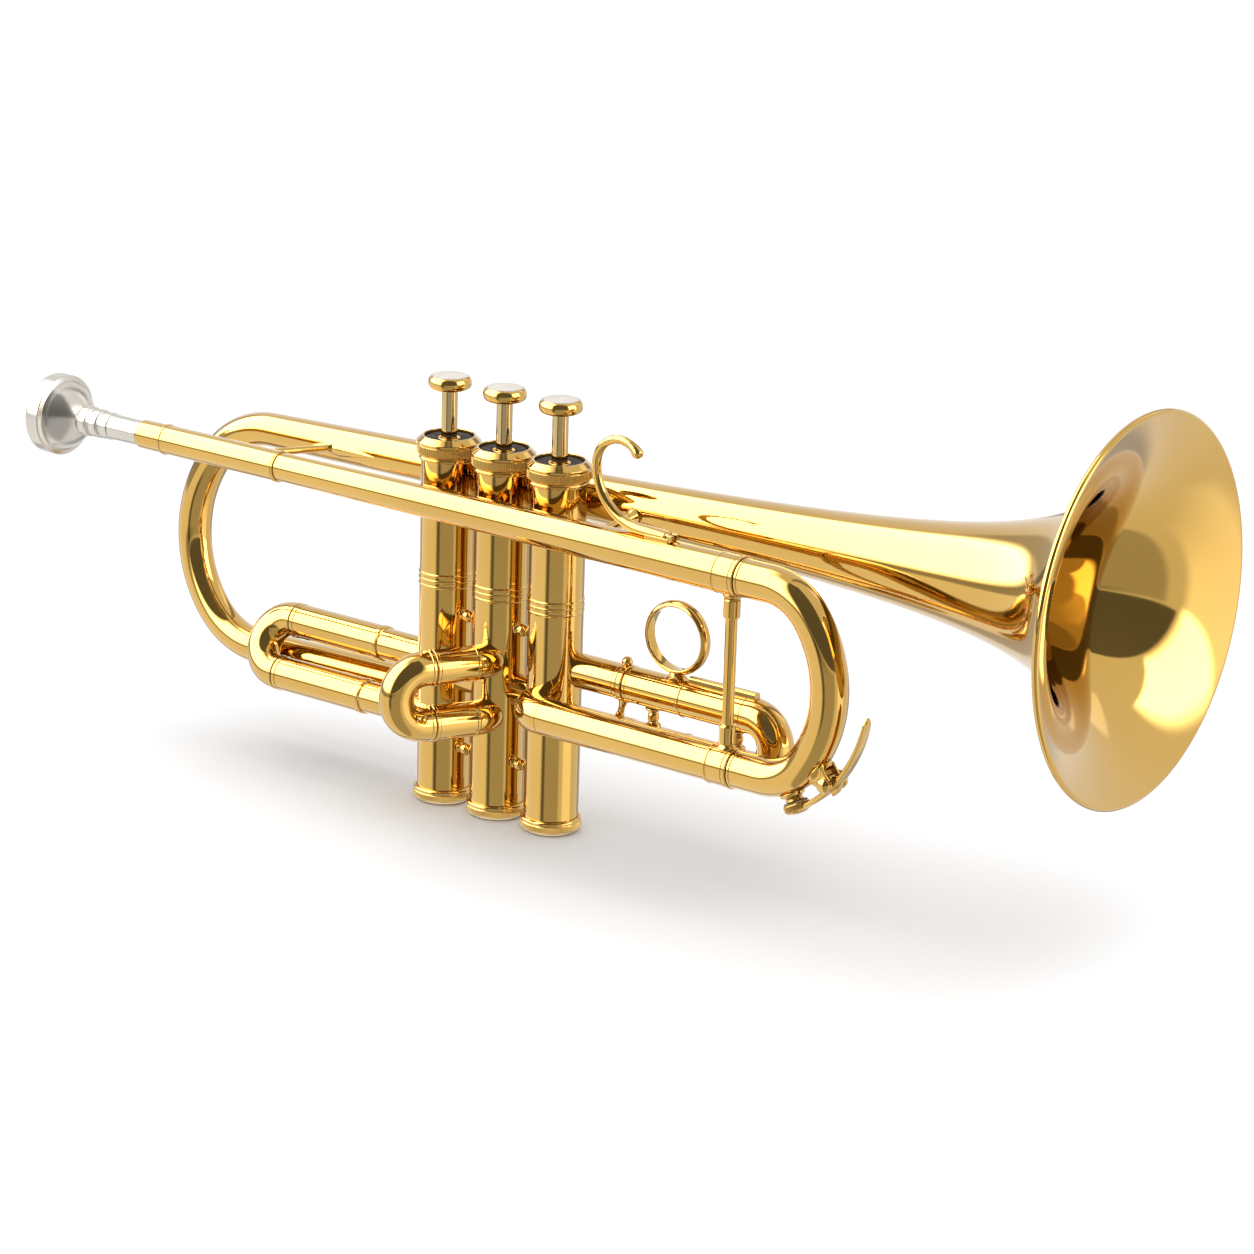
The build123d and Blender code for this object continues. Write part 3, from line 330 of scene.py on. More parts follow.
# ---- finishes
class Wire:
    """A shader value. The operators add Math nodes; node() adds any other node."""

    def __init__(self, tree, socket):
        self.tree, self.socket = tree, socket

    def node(self, kind, values=None, output=0, **settings):
        """A node of a kind, with its settings made first and then its sockets' values."""
        made = self.tree.nodes.new("ShaderNode" + kind)
        for name, value in settings.items():
            setattr(made, name, value)
        for name, value in (values or {}).items():
            if isinstance(value, Wire):
                self.tree.links.new(value.socket, made.inputs[name])
            else:
                made.inputs[name].default_value = value
        return Wire(self.tree, made.outputs[output])

    def math(self, operation, other, swap=False):
        pair = (other, self) if swap else (self, other)
        return self.node("Math", dict(enumerate(pair)), operation=operation)

    def __add__(self, other):
        return self.math("ADD", other)

    def __sub__(self, other):
        return self.math("SUBTRACT", other)

    def __rsub__(self, other):
        return self.math("SUBTRACT", other, swap=True)

    def __mul__(self, other):
        return self.math("MULTIPLY", other)

    __radd__, __rmul__ = __add__, __mul__

    def step(self, low, high):
        """0 below low, 1 above high and a smooth rise between them."""
        return self.node("MapRange", {"Value": self, "From Min": low, "From Max": high},
                         interpolation_type="SMOOTHSTEP")

    def blend(self, first, second):
        """A colour between two, by this value."""
        first, second = (c if isinstance(c, Wire) else (*c, 1) for c in (first, second))
        return self.node("Mix", {"Factor": self, 6: first, 7: second}, 2, data_type="RGBA")


def finish(name, rough, metallic=1.0, coat=0.0, coat_rough=0.03):
    """A new material, its shader and a start for wires in object coordinates."""
    material = bpy.data.materials.new(name)
    material.use_nodes = True
    tree = material.node_tree
    shader = tree.nodes["Principled BSDF"]
    for socket, value in {"Roughness": rough, "Metallic": metallic, "Coat Weight": coat,
                          "Coat Roughness": coat_rough, "IOR": 1.5}.items():
        shader.inputs[socket].default_value = value
    return material, shader, Wire(tree, None).node("TexCoord", output=3)


def noise(place, scale, detail=2.0, stretch=None, rough=0.5):
    """Noise on object coordinates, stretched along the axes."""
    if stretch:
        place = place.node("Mapping", {"Vector": place, "Scale": stretch})
    return place.node("TexNoise", {"Vector": place, "Scale": scale, "Detail": detail, "Roughness": rough})


def bump(height, strength, distance=0.0001):
    """A surface normal that leans with a height."""
    return height.node("Bump", {"Strength": strength, "Distance": distance, "Height": height})


def plug(shader, **wires):
    """Joins wires to the shader's sockets by name."""
    for name, wire in wires.items():
        wire.tree.links.new(wire.socket, shader.inputs[name.replace("_", " ")])


def polished(name, pale, deep, rough, haze, scratch, coat=0.0):
    """Polished metal: the tone drifts between two colours in slow clouds, the polish has
    hazy patches, and fine buffing lines and ripples disturb the reflections."""
    material, shader, place = finish(name, rough, 1.0, coat)
    cloud = noise(place, 14.0, 3.0).step(0.3, 0.7)
    smear = noise(place, 90.0, 4.0, (1, 1, 0.35), 0.6).step(0.45, 0.8)
    lines = noise(place, 900.0, 2.0, (0.15, 1, 1))
    ripple = noise(place, 35.0, 1.0)
    plug(shader, Base_Color=cloud.blend(deep, pale), Roughness=smear * haze + lines * (haze * 0.5) + rough,
         Normal=bump(ripple * 0.8 + lines * 0.02, scratch))
    return material


def pearl_finish():
    """Mother-of-pearl: warm off-white with cloudy growth bands and a clear polish."""
    material, shader, place = finish("pearl", 0.22, 0.0, 0.6, 0.05)
    growth = noise(place, 260.0, 4.0, (1, 0.4, 1)).step(0.35, 0.7)
    fleck = noise(place, 900.0, 2.0).step(0.4, 0.75)
    shade = growth.blend((0.35, 0.30, 0.235), (0.42, 0.375, 0.31))
    plug(shader, Base_Color=(fleck * 0.35).blend(shade, (0.47, 0.43, 0.38)), Normal=bump(growth, 0.15))
    return material


def felt_finish():
    """Pressed dark felt: short tangled fibres, rough and without gloss."""
    material, shader, place = finish("felt", 0.95, 0.0)
    fibre = noise(place, 2600.0, 4.0, (1, 0.3, 1))
    shade = (fibre * noise(place, 500.0, 3.0)).step(0.1, 0.5)
    plug(shader, Base_Color=shade.blend((0.010, 0.008, 0.007), (0.055, 0.042, 0.036)),
         Normal=bump(fibre, 0.8, 0.0003))
    return material


def cork_finish():
    """Cut cork: warm brown grains with dark pores between them."""
    material, shader, place = finish("cork", 0.85, 0.0)
    grain = place.node("TexVoronoi", {"Vector": place, "Scale": 1400.0})
    solid = 1 - noise(place, 2200.0, 2.0).step(0.55, 0.75)
    plug(shader, Base_Color=(grain * solid).step(0.0, 0.6).blend((0.10, 0.055, 0.028), (0.30, 0.19, 0.105)),
         Normal=bump(solid, 0.6, 0.0002))
    return material


def nylon_finish():
    """Moulded white nylon with a faint milky mottle."""
    material, shader, place = finish("white_nylon", 0.45, 0.0)
    milk = noise(place, 300.0, 2.0).step(0.3, 0.7)
    plug(shader, Base_Color=milk.blend((0.78, 0.77, 0.73), (0.88, 0.88, 0.86)), Normal=bump(milk, 0.1))
    return material


BRASS = polished("lacquered_brass", (0.620, 0.370, 0.068), (0.560, 0.325, 0.052), 0.05, 0.04, 0.08, 0.9)
ALLOY = polished("valve_alloy", (0.74, 0.70, 0.60), (0.66, 0.62, 0.53), 0.10, 0.05, 0.05)
STEM = polished("stem_metal", (0.55, 0.41, 0.20), (0.49, 0.35, 0.15), 0.06, 0.04, 0.05)
NICKEL = polished("slide_nickel", (0.78, 0.76, 0.71), (0.72, 0.70, 0.65), 0.07, 0.06, 0.06)
SILVER = polished("silver_plate", (0.62, 0.585, 0.53), (0.55, 0.51, 0.44), 0.20, 0.06, 0.08)
STEEL = polished("spring_steel", (0.58, 0.57, 0.56), (0.50, 0.50, 0.50), 0.20, 0.08, 0.10)
PEARL, FELT, CORK, NYLON = pearl_finish(), felt_finish(), cork_finish(), nylon_finish()

# ---- valves
casing_r, bore_r, casing_top = 9.3, 8.45, 124.0
cap_base, cap_top = (corner[2] for corner in corners("top_cap_2"))
cap_r, well_r = 10.9, 8.3
band_z = 79.0
stem_r, stem_base, hub_r = 2.7, 122.2, 4.0
button_base, button_top = (corner[2] for corner in corners("finger_button_2"))
button_r, core_r = 7.4, 1.6
pearl_top = corners("button_pearl_2")[1][2]
pearl_r = 6.05
valve_x = [middle(f"valve_casing_{n}")[0] for n in (1, 2, 3)]
felt_base, felt_top = (corner[2] for corner in corners("cap_felts"))

casing_outline = (
    [(1.5, bore_r), (1.5, casing_r)]
    + mirrored(band_z, band_z, (-2.5, 0), (-2.2, 0.28), (-1.75, 0.28), (-1.6, 0.12), (-0.45, 0.12),
               (-0.3, 0.32), radius=casing_r)
    + [(casing_top, casing_r), (casing_top, bore_r)])
cap_outline = (
    shift(cap_base, 0, (0, casing_r), (0, 9.9), (0.35, 10.2), (1.0, 10.2), (1.25, 9.95), (1.6, 9.95),
          (1.95, 10.6), (2.3, 10.75), (4.9, 10.75), (5.15, 10.6), (5.4, cap_r), (6.2, cap_r))
    + [(cap_top, 8.95), (cap_top, well_r), (felt_base, well_r), (felt_base, hub_r), (felt_top, 3.8),
       (felt_top, 3.3), (felt_base, stem_r + 0.15), (casing_top, stem_r + 0.15), (casing_top, casing_r)])
foot_outline = [
    (0, 1.5), (0, 7.4), (0.3, 8.7), (0.9, 9.7), (1.7, 10.3), (3.3, 10.3), (3.55, 10.05), (3.9, 10.05),
    (4.15, 10.35), (4.75, 10.35), (5.2, 9.9), (5.2, casing_r), (1.5, casing_r), (1.5, bore_r),
    (1.2, bore_r), (1.2, 1.5)]
button_outline = (
    shift(button_base, 0, (0, stem_r), (0, 4.6), (0.25, 6.1), (1.0, 7.05), (2.1, button_r), (3.2, 7.3))
    + shift(button_top, 0, (-0.45, 6.85), (0, 6.35), (-0.05, pearl_r))
    + [(pearl_top - 0.9, pearl_r), (pearl_top - 0.9, 0.2)]
    + shift(button_base, 0, (3.0, 0.2), (3.0, core_r), (1.0, core_r), (1.0, stem_r)))
pearl_outline = shift(pearl_top, 0, (-0.9, 0), (-0.9, pearl_r - 0.02), (-0.12, pearl_r - 0.02),
                      (0, pearl_r - 0.5), (-0.12, 3.0), (-0.18, 0))
stem_outline = [(stem_base, 0), (stem_base, stem_r)] + shift(
    button_base, 0, (1.0, stem_r), (1.0, core_r), (3.0, core_r), (3.0, 0))

for number, x in enumerate(valve_x, start=1):
    line, valve = upright(x), f"valve_{number}"
    cap_knurl = (cap_base + 2.2, cap_base + 5.0, 84, 0.42)
    for name, body, material, shell, node in (
            ("casing", "root", BRASS, carried(casing_outline, line, 96), "valve_casing"),
            ("upper_cap", "root", BRASS, carried(cap_outline, line, size=0.2, knurl=cap_knurl), "top_cap"),
            ("lower_cap", "root", BRASS, carried(foot_outline, line, size=0.3, knurl=(1.6, 3.4, 100, 0.2)),
             "bottom_cap"),
            ("button", valve, BRASS, carried(button_outline, line, 80, 0.5), "finger_button"),
            ("pearl", valve, PEARL, carried(pearl_outline, line, 80, 0.4, closed=False), "button_pearl"),
            ("stem", valve, STEM, carried(stem_outline, line, 48, closed=False), "valve_stem")):
        piece(f"{name}_{number}", body, material, [shell], f"{node}_{number}")
felt_outline = [(felt_base, hub_r), (felt_base, 8.28), (felt_top - 0.5, 8.28), (felt_top, 7.6),
                (felt_top, 4.6), (felt_top - 0.4, hub_r)]
piece("felts", "root", FELT, [carried(felt_outline, upright(x), 72, 0.5) for x in valve_x], "cap_felts")

stud_low, stud_high = corners("casing_studs")
stud_y = middle("casing_studs")[1]
gap = valve_x[1] - valve_x[0]
stud_reach = gap / 2 - casing_r + 0.5
stud_outline = mirrored(0, 0, (-stud_reach, 0), (-stud_reach, 2.0), (-1.75, 1.45), (-1.5, 1.3),
                        (-1.2, 1.9), (-0.6, 2.2))
piece("studs", "root", BRASS,
      [carried(stud_outline, Route((left + gap / 2, stud_y, z), X, Z), 48, 0.4, closed=False)
       for left in valve_x[:2] for z in (stud_low[2] + 2.2, stud_high[2] - 2.2)], "casing_studs")

lower_low, lower_high = corners("slide_ferrules")
ferrule_r = 6.75
lower_z = lower_low[2] + ferrule_r
crossover_r = 5.5
crossovers = [tube(level(0, lower_z), crossover_r, 5.0, left + 5, left + gap - 5, stride=5)
              for left in valve_x[:2]]
piece("crossovers", "root", BRASS,
      [meet(meet(shell, left, X), left + gap, -X) for shell, left in zip(crossovers, valve_x)],
      "crossover_tubes")

# ---- leadpipe and main slide
lead_y, lead_z = middle("leadpipe")[1:]
lead = level(lead_y, lead_z)
lower = level(lead_y, lower_z)
main_r, main_leg_r, main_bore = 6.2, 5.6, 5.63
tail_r, sleeve_r = 4.95, 5.3
receiver_start, sleeve_end = (corner[0] for corner in corners("mouthpiece_receiver"))
mouth_x, shank_end = (corner[0] for corner in corners("mouthpiece"))
ferrule_start, ferrule_end = lower_low[0], lower_high[0]

receiver_outline = (
    shift(receiver_start, 0, (0, 4.22), (0, 4.85), (0.5, 5.05), (10.9, 5.12), (11.1, 5.4), (11.5, 5.45),
          (11.9, 5.4), (12.1, 5.12))
    + shift(sleeve_end, sleeve_r, (-1.7, 0), (-1.5, 0.18), (-0.9, 0.18), (-0.75, 0), (-0.35, 0),
            (-0.2, 0.14), (0, 0.1))
    + [(sleeve_end, tail_r - 0.02), (shank_end + 0.5, tail_r - 0.02), (shank_end + 0.5, 4.22)])
piece("receiver", "root", BRASS, [carried(receiver_outline, lead, 72)], "mouthpiece_receiver")
piece("lead_tube", "root", BRASS,
      [carried([(shank_end + 0.5, 4.35), (shank_end + 0.5, tail_r), (sleeve_end, tail_r),
                (ferrule_start, main_r + 0.25), (ferrule_end, main_r + 0.25), (ferrule_end, main_bore),
                (ferrule_end - 53, main_bore), (ferrule_end - 53, 5.1)], lead, 96)], "leadpipe")

elbow_r = 8.0
port_run = ferrule_end - (valve_x[2] + elbow_r)
elbow = Route((ferrule_end, lead_y, lower_z), -X, Y,
              [(port_run, 0), (elbow_r * math.pi / 2, 90.0), (4.0, 0)])
elbow_ring = shift(port_run, main_r, (-1.6, -0.05), (-1.6, 0.18), (-0.9, 0.18), (-0.9, -0.05))
piece("lower_tube", "root", BRASS,
      [meet(tube(elbow, main_r, main_bore, steps=80), valve_x[2], -Y), carried(elbow_ring, elbow, 72)],
      "lower_slide_tube")
ferrule_outline = (
    [(ferrule_start, main_r - 0.1), (ferrule_start, main_r + 0.3)]
    + shift(ferrule_start, ferrule_r, (0.25, -0.1), (0.9, -0.1), (1.1, -0.32), (1.4, -0.32), (1.6, -0.15))
    + shift(ferrule_end, ferrule_r, (-1.9, -0.15), (-1.7, -0.32), (-1.4, -0.32), (-1.15, 0), (-0.25, 0),
            (0, -0.2))
    + [(ferrule_end, main_r - 0.1)])
piece("ferrules", "root", BRASS, [carried(ferrule_outline, line, 88) for line in (lead, lower)],
      "slide_ferrules")

brace_x = middle("slide_brace")[0]
foot = ferrule_r - 0.2
brace_outline = mirrored(lower_z + foot, lead_z - foot, (0, 0), (0, 3.2), (0.5, 3.1), (1.1, 2.5), (1.4, 2.75),
                         (7.0, 2.75), (7.4, 2.5), (7.6, 1.95))
brace = carried(brace_outline, upright(brace_x, lead_y), 56, 0.25, closed=False)
v = brace[0]
for z, way in ((lower_z, 1), (lead_z, -1)):
    near = np.clip(1 - (way * (v[:, 2] - z) - foot) / 1.2, 0, 1)
    v[:, 2] -= way * near * (foot - np.sqrt(np.maximum(foot ** 2 - (v[:, 1] - lead_y) ** 2, 0)))
piece("upright_brace", "root", BRASS, [brace], "slide_brace")

hook_r, tip_r = 1.65, 1.9
curl_r, sweep_r, sole_run = 9.2, 18.6, 11.5
foot_x = 69.8
hook_z = lead_z + main_r + hook_r - 0.1
curl_turn = 139.0
curl_centre = np.array([foot_x - sweep_r + curl_r, lead_y, hook_z + sweep_r])
open_angle = math.radians(180 - curl_turn)
open_cos, open_sin = math.cos(open_angle), math.sin(open_angle)
hook_route = Route(curl_centre + curl_r * np.array([open_cos, 0, open_sin]), (-open_sin, 0, open_cos),
                   (-1, 0, -0.2), [(curl_r * math.radians(curl_turn), curl_turn),
                                   (sweep_r * math.pi / 2, 90.0), (sole_run, 0)])
end = hook_route.length
along = np.concatenate([np.sin(np.linspace(-90, 0, 9) * math.pi / 180) * tip_r, np.linspace(0.6, end, 90)])
ball = np.sqrt(np.maximum(tip_r ** 2 - np.minimum(along, 0) ** 2, 0))
growth = np.interp(along, [-2, 0, 3.0, 12.0, end - 16, end - 9, end - 0.2, end],
                   [tip_r, tip_r, 1.5, 1.45, 1.75, 1.75, 1.3, 0.2])
round_bar = np.where(along <= 0, ball, growth)
spread = np.interp(along, [0, end - 16, end - 7, end - 0.2, end], [1, 1, 1.5, 1.8, 1.8])
hook = bar(hook_route, along, round_bar * np.where(along <= 0, 1, spread), round_bar, 1.0, 40)
hook_end = foot_x + sole_run
sole = plate([(-4.5, -2.4), (4.6, -2.4), (5.1, -1.9), (5.1, 1.9), (4.6, 2.4), (-4.5, 2.4), (-6.5, 0)],
             np.array([hook_end - 4.0, lead_y, lead_z + main_r + 0.35]), X, Y, 0.75, 0.3)
clasp = [plate([(-1.1, -0.8), (1.1, -0.8), (1.1, 0.8), (-1.1, 0.8)],
               np.array([hook_end + 1.0, lead_y + side, lead_z + main_r + 1.3]), X, Y, 1.0, 0.25)
         for side in (-1.5, 1.5)]
piece("little_finger_hook", "root", BRASS, [hook, sole] + clasp, "finger_hook")

# ---- bell
bell_rim = np.array([232.8, 19.8, 115.0])
bell_tail = np.array([-116.3, 16.2, 109.7])
bell_dir = unit(bell_rim - bell_tail)
bell_length = np.linalg.norm(bell_rim - bell_tail)
bell_line = Route(bell_tail, bell_dir, Z)
bell_rim_r, throat_r, flare_length, flare_power = 62.0, 1.9, 15.5, 0.85
bell_wall, bead_r, bell_joint = 0.55, 1.2, 240.0
bow_r = 6.0


def horn(back):
    """Radius and outward normal of the bell at a distance back from its rim: a Bessel
    horn, radius = throat + (rim - throat) * (1 + back / flare length) ^ -power."""
    grown = (bell_rim_r - throat_r) * (1 + back / flare_length) ** -flare_power
    rise = grown * flare_power / (flare_length + back)
    long = np.sqrt(1 + rise ** 2)
    return throat_r + grown, np.stack([-rise / long, 1 / long], -1)


def bell_outline():
    """Outer skin to the rim, round the rolled bead behind the rim, and back inside."""
    back = 0.39 + (bell_joint - 0.39) * np.linspace(0, 1, 110) ** 2.2
    radius, out = horn(back)
    skin_line = np.stack([bell_length - back, radius], -1)
    inner = skin_line - bell_wall * out
    into = -out[0]
    ahead = np.array([-into[1], into[0]])
    ahead = ahead if ahead[1] > 0 else -ahead
    hub = inner[0] - into * bead_r
    first = math.acos((bead_r - bell_wall) / bead_r)
    turn = np.linspace(first, 2 * math.pi, 40)[:-1, None]
    bead_out = np.cos(turn) * into - np.sin(turn) * ahead
    keep = back > 0.39 + math.sqrt(bead_r ** 2 - (bead_r - bell_wall) ** 2) + 0.05
    points = np.concatenate([skin_line[keep][::-1], hub + bead_r * bead_out, inner])
    normals = np.concatenate([out[keep][::-1], bead_out, -out])
    return points, normals


piece("horn_bell", "root", BRASS, [carried(bell_outline(), bell_line, 288)], "bell")

bow_drop, bow_lean, bow_reach, bow_corner = 78.0, 7.55, 34.1, 31.0
down = unit([0, -bow_lean, -math.sqrt(bow_drop ** 2 - bow_lean ** 2)])
down = unit(down - bell_dir * (down @ bell_dir))
tail_start = bell_tail + down * bow_drop
tail_bend, tail_bend_r = 39.0, 13.0
heading = math.atan2(bell_dir[1], bell_dir[0]) - math.radians(tail_bend)
turned = np.array([math.cos(heading), math.sin(heading), 0])
offset = np.array([valve_x[0], 0, 0]) - tail_start
tail_corner = ((offset[0] * turned[1] - offset[1] * turned[0])
               / (bell_dir[0] * turned[1] - bell_dir[1] * turned[0]))
tail_run = tail_corner - tail_bend_r * math.tan(math.radians(tail_bend / 2))
tail_end = tail_start + bell_dir * tail_run
joint = bell_length - bell_joint
back_bow = Route(bell_tail + bell_dir * joint, -bell_dir, down,
                 [(joint, 0)] + arch(bow_drop / 2, bow_reach, bow_corner) + [(tail_run, 0)])
joint_r = horn(np.array(bell_joint))[0]
bow_outline = [(0, joint_r - 0.6), (0, joint_r), (joint, bow_r), (back_bow.length + 0.5, bow_r),
               (back_bow.length + 0.5, bow_r - 0.6), (joint, bow_r - 0.6)]
tail_route = Route(tail_end, bell_dir, np.cross(bell_dir, Z),
                   [(tail_bend_r * math.radians(tail_bend), tail_bend), (7, 0)])
piece("rear_bow", "root", BRASS,
      [carried(bow_outline, back_bow, 80, stride=1.3),
       carried(mirrored(0, 0, (-0.35, -0.2), (-0.35, 0.22), radius=joint_r), back_bow, 80),
       meet(tube(tail_route, bow_r, bow_r - 0.6, steps=80), valve_x[0], -turned)], "bell_bow")


def bell_place(x):
    """The point of the bell's axis at an x."""
    return bell_tail + bell_dir * ((x - bell_tail[0]) / bell_dir[0])


def bell_tube_r(x):
    """Outer radius of the bell's tube at an x."""
    back = bell_length - (x - bell_tail[0]) / bell_dir[0]
    if back < bell_joint:
        return horn(np.array(back))[0]
    return np.interp(back, [bell_joint, bell_length], [joint_r, bow_r])


def rod(start, end, start_gap, end_gap, outline):
    """A turned rod on the line between two places, which starts and stops at a gap from
    them. Its outline's first number runs from 0 to 1."""
    toward = unit(end - start)
    start, end = start + toward * start_gap, end - toward * end_gap
    length = np.linalg.norm(end - start)
    route = Route(start, end - start, np.cross(end - start, X + Z * 0.3))
    return carried([(a * length, r) for a, r in outline], route, 40, 0.25, closed=False)


rear_foot_x, rear_top_x = -99.0, -81.0
rear_top = bell_place(rear_top_x)
rear_rod = rod(np.array([rear_foot_x, lead_y, lead_z + 1.5]), rear_top, 4.6, bow_r - 0.2,
               [(0, 0), (0, 2.3), (0.05, 2.2), (0.12, 1.3), (0.9, 1.2), (0.97, 1.9), (1, 2.2), (1, 0)])


def kite(reach_back, reach_ahead, half_wide, height):
    """A spear-shaped flange laid round the bell's tube: its half width falls in a line
    from the middle to each end, and its back is ridged along the middle."""
    s = np.concatenate([np.linspace(-reach_back, 0, 20), np.linspace(0, reach_ahead, 24)[1:]])
    wide = half_wide * np.where(s < 0, 1 + s / reach_back, 1 - s / reach_ahead)
    angle = np.linspace(0, 2 * math.pi, 40, endpoint=False)[None, :]
    across = wide[:, None] * np.cos(angle)
    radius = np.array([bell_tube_r(rear_top[0] + a) for a in s])[:, None]
    ridge = (1 - np.abs(np.cos(angle)) ** 1.4) * np.sign(np.sin(angle))
    rise = height * (wide[:, None] / half_wide) ** 0.5 * ridge
    lift = radius + np.where(rise > 0, rise, rise * 0.5)
    turn = across / radius
    away = -np.cos(turn)[..., None] * Y + np.sin(turn)[..., None] * Z
    points = rear_top + s[:, None, None] * bell_dir + lift[..., None] * away
    return skin(points, grid_normals(points, points.mean(1, keepdims=True), -Y), False)


piece("back_brace", "root", BRASS, [rear_rod, kite(11.5, 16.5, 2.9, 0.9)], "rear_bell_brace")

front_x = middle("front_bell_brace")[0]
front_rod = rod(np.array([front_x, lead_y, lead_z]), bell_place(front_x), 5.6, bell_tube_r(front_x) - 0.3,
                mirrored(0, 1, (0, 0), (0, 2.8), (0.06, 2.7), (0.14, 2.0), (0.2, 1.6)))
piece("fore_brace", "root", BRASS, [front_rod], "front_bell_brace")

# ---- valve slides
slide_r, slide_leg_r, slide_bore = 5.95, 5.40, 5.43
port_r = 5.5
first_upper, first_lower = np.array([3.4, 47.8]), np.array([-5.8, 30.9])
first_lip, first_end = -53.2, corners("first_slide_tubes")[0][0]
stay_x = -70.0
stay_top = tail_start + bell_dir * ((stay_x - tail_start[0]) / bell_dir[0])
piece("tail_strut", "root", BRASS,
      [rod(np.array([stay_x, *first_lower]), stay_top, slide_r - 0.3, bow_r - 0.3,
           mirrored(0, 1, (0, 0), (0, 1.9), (0.2, 1.7), (0.35, 1.1)))], "tail_stay")


def fixed_slide(start, lip, end, line):
    """A slide's fixed tubes: port tube, raised lip, outer tube and a ring at the end,
    all read along the line from the valve outwards."""
    return carried([
        (start, 4.9), (start, port_r), (lip - 0.9, port_r), (lip - 0.7, port_r + 0.5), (lip, 6.2),
        (lip + 1.3, 6.2), (lip + 1.6, slide_r), (end - 1.7, slide_r), (end - 1.5, slide_r + 0.2),
        (end - 0.25, slide_r + 0.2), (end, slide_r), (end, slide_bore), (lip + 4, slide_bore),
        (lip + 4, 4.9)], line, 72)


first_lines = [Route((0, y, z), -X, Z) for y, z in (first_upper, first_lower)]
piece("first_tubes", "root", BRASS,
      [meet(fixed_slide(-valve_x[0] + 0.5, -first_lip, -first_end, line), valve_x[0], -X)
       for line in first_lines],
      "first_slide_tubes")
first_up = np.array([0, *(first_upper - first_lower)])
first_half = np.linalg.norm(first_up) / 2
first_bow_start = -first_end + 0.3
first_bow = Route(np.array([0, *first_upper]) - X * first_bow_start, -X, -first_up,
                  [(1.7, 0)] + arch(first_half, first_half, 0) + [(1.7, 0)])
legs_inner = corners("first_slide_legs")[1][0]


def bow_with_rings(route, outer, inner, ring=0.2):
    """A U-shaped crook: a tube with a raised ring at each end."""
    outline = mirrored(0, route.length, (0, inner), (0, outer), (0.2, outer + ring), (1.1, outer + ring),
                       (1.3, outer))
    return carried(outline, route, 72, stride=1.1)


piece("first_crook", "first_slide", BRASS, [bow_with_rings(first_bow, slide_r, slide_leg_r)],
      "first_slide_bow")
piece("first_legs", "first_slide", NICKEL,
      [tube(line, slide_leg_r, slide_leg_r - 0.4, -legs_inner, first_bow_start + 1.7, stride=400)
       for line in first_lines], "first_slide_legs")

second_exit, second_heading = math.radians(-81.2), math.radians(-117.5)
second_turn = 36.3
knuckle_start, knuckle_r = 7.5, 9.5
second_heights = (56.3, 36.9)
second_length, second_bow_run = 15.5, 2.6
exit_dir = np.array([math.cos(second_exit), math.sin(second_exit), 0])
second_dir = np.array([math.cos(second_heading), math.sin(second_heading), 0])
bend_length = knuckle_r * math.radians(second_turn)


def second_route(z):
    """Out of the casing, round the knuckle and along the second slide."""
    return Route((0, 0, z), exit_dir, np.cross(exit_dir, Z),
                 [(knuckle_start, 0), (bend_length, second_turn), (second_length, 0)])


knuckle = knuckle_start + bend_length
second_end = knuckle + second_length
second_outline = (
    [(2.0, slide_bore), (2.0, slide_r)]
    + shift(knuckle, slide_r, (-0.1, 0), (0.1, 0.16), (0.8, 0.16), (1.0, 0))
    + shift(second_end, slide_r, (-1.3, 0), (-1.1, 0.25), (-0.2, 0.25), (0, 0)) + [(second_end, slide_bore)])
piece("second_tubes", "root", BRASS,
      [meet(carried(second_outline, second_route(z), 72, stride=1.1), 0, exit_dir) for z in second_heights],
      "second_slide_tubes")
crook_start = second_route(second_heights[0]).frames(np.array([second_end + 0.3]))[0][0]
second_half = (second_heights[0] - second_heights[1]) / 2
second_crook = Route(crook_start, second_dir, -Z,
                     [(second_bow_run, 0)] + arch(second_half, second_half, 0) + [(second_bow_run, 0)])
piece("second_crook", "second_slide", BRASS,
      [bow_with_rings(second_crook, slide_r - 0.02, slide_leg_r, 0.25)]
      + [tube(second_route(z), slide_leg_r, slide_leg_r - 0.4, knuckle + 1.0, second_end + 2.5, stride=400)
         for z in second_heights], "second_slide_bow")

third_y = middle("finger_ring")[1]
third_heights = (56.6, 38.2)
third_stop = 51.2
third_sleeve_start, third_end = (corner[0] for corner in corners("third_slide_sleeves"))
third_ring_x = 76.0
sleeve_bore = port_r + 0.03
third_r = sleeve_bore + 0.6
third_lines = [level(third_y, z) for z in third_heights]
third_outline = (
    [(valve_x[2] + 0.5, 4.9), (valve_x[2] + 0.5, slide_r)]
    + shift(third_stop, 0, (-2.2, slide_r), (-1.8, 6.25), (-0.5, 6.3), (-0.3, 6.1), (0, 6.1), (0.2, 6.3),
            (1.4, 6.25), (1.8, port_r))
    + [(third_end - 3, port_r), (third_end - 3, 4.9)])
third_ball = carried([(-1.9, 0), (-1.75, 0.75), (-1.34, 1.34), (-0.75, 1.75), (0, 1.9), (0.75, 1.75),
                      (1.34, 1.34), (1.75, 0.75), (1.9, 0)],
                     Route((third_stop, third_y, third_heights[0] + 7.2), Z, X), 40, 0.4, closed=False)
piece("third_tubes", "root", BRASS,
      [meet(carried(third_outline, line, 72), valve_x[2], X) for line in third_lines] + [third_ball],
      "third_slide_tubes")
piece("third_strut", "root", BRASS,
      [rod(np.array([third_stop + 0.4, third_y, third_heights[0]]),
           np.array([third_stop - 4, third_y, third_heights[1]]), 6.0, 5.8,
           mirrored(0, 1, (0, 0), (0, 1.7), (0.2, 1.5), (0.35, 1.15)))], "third_slide_stay")
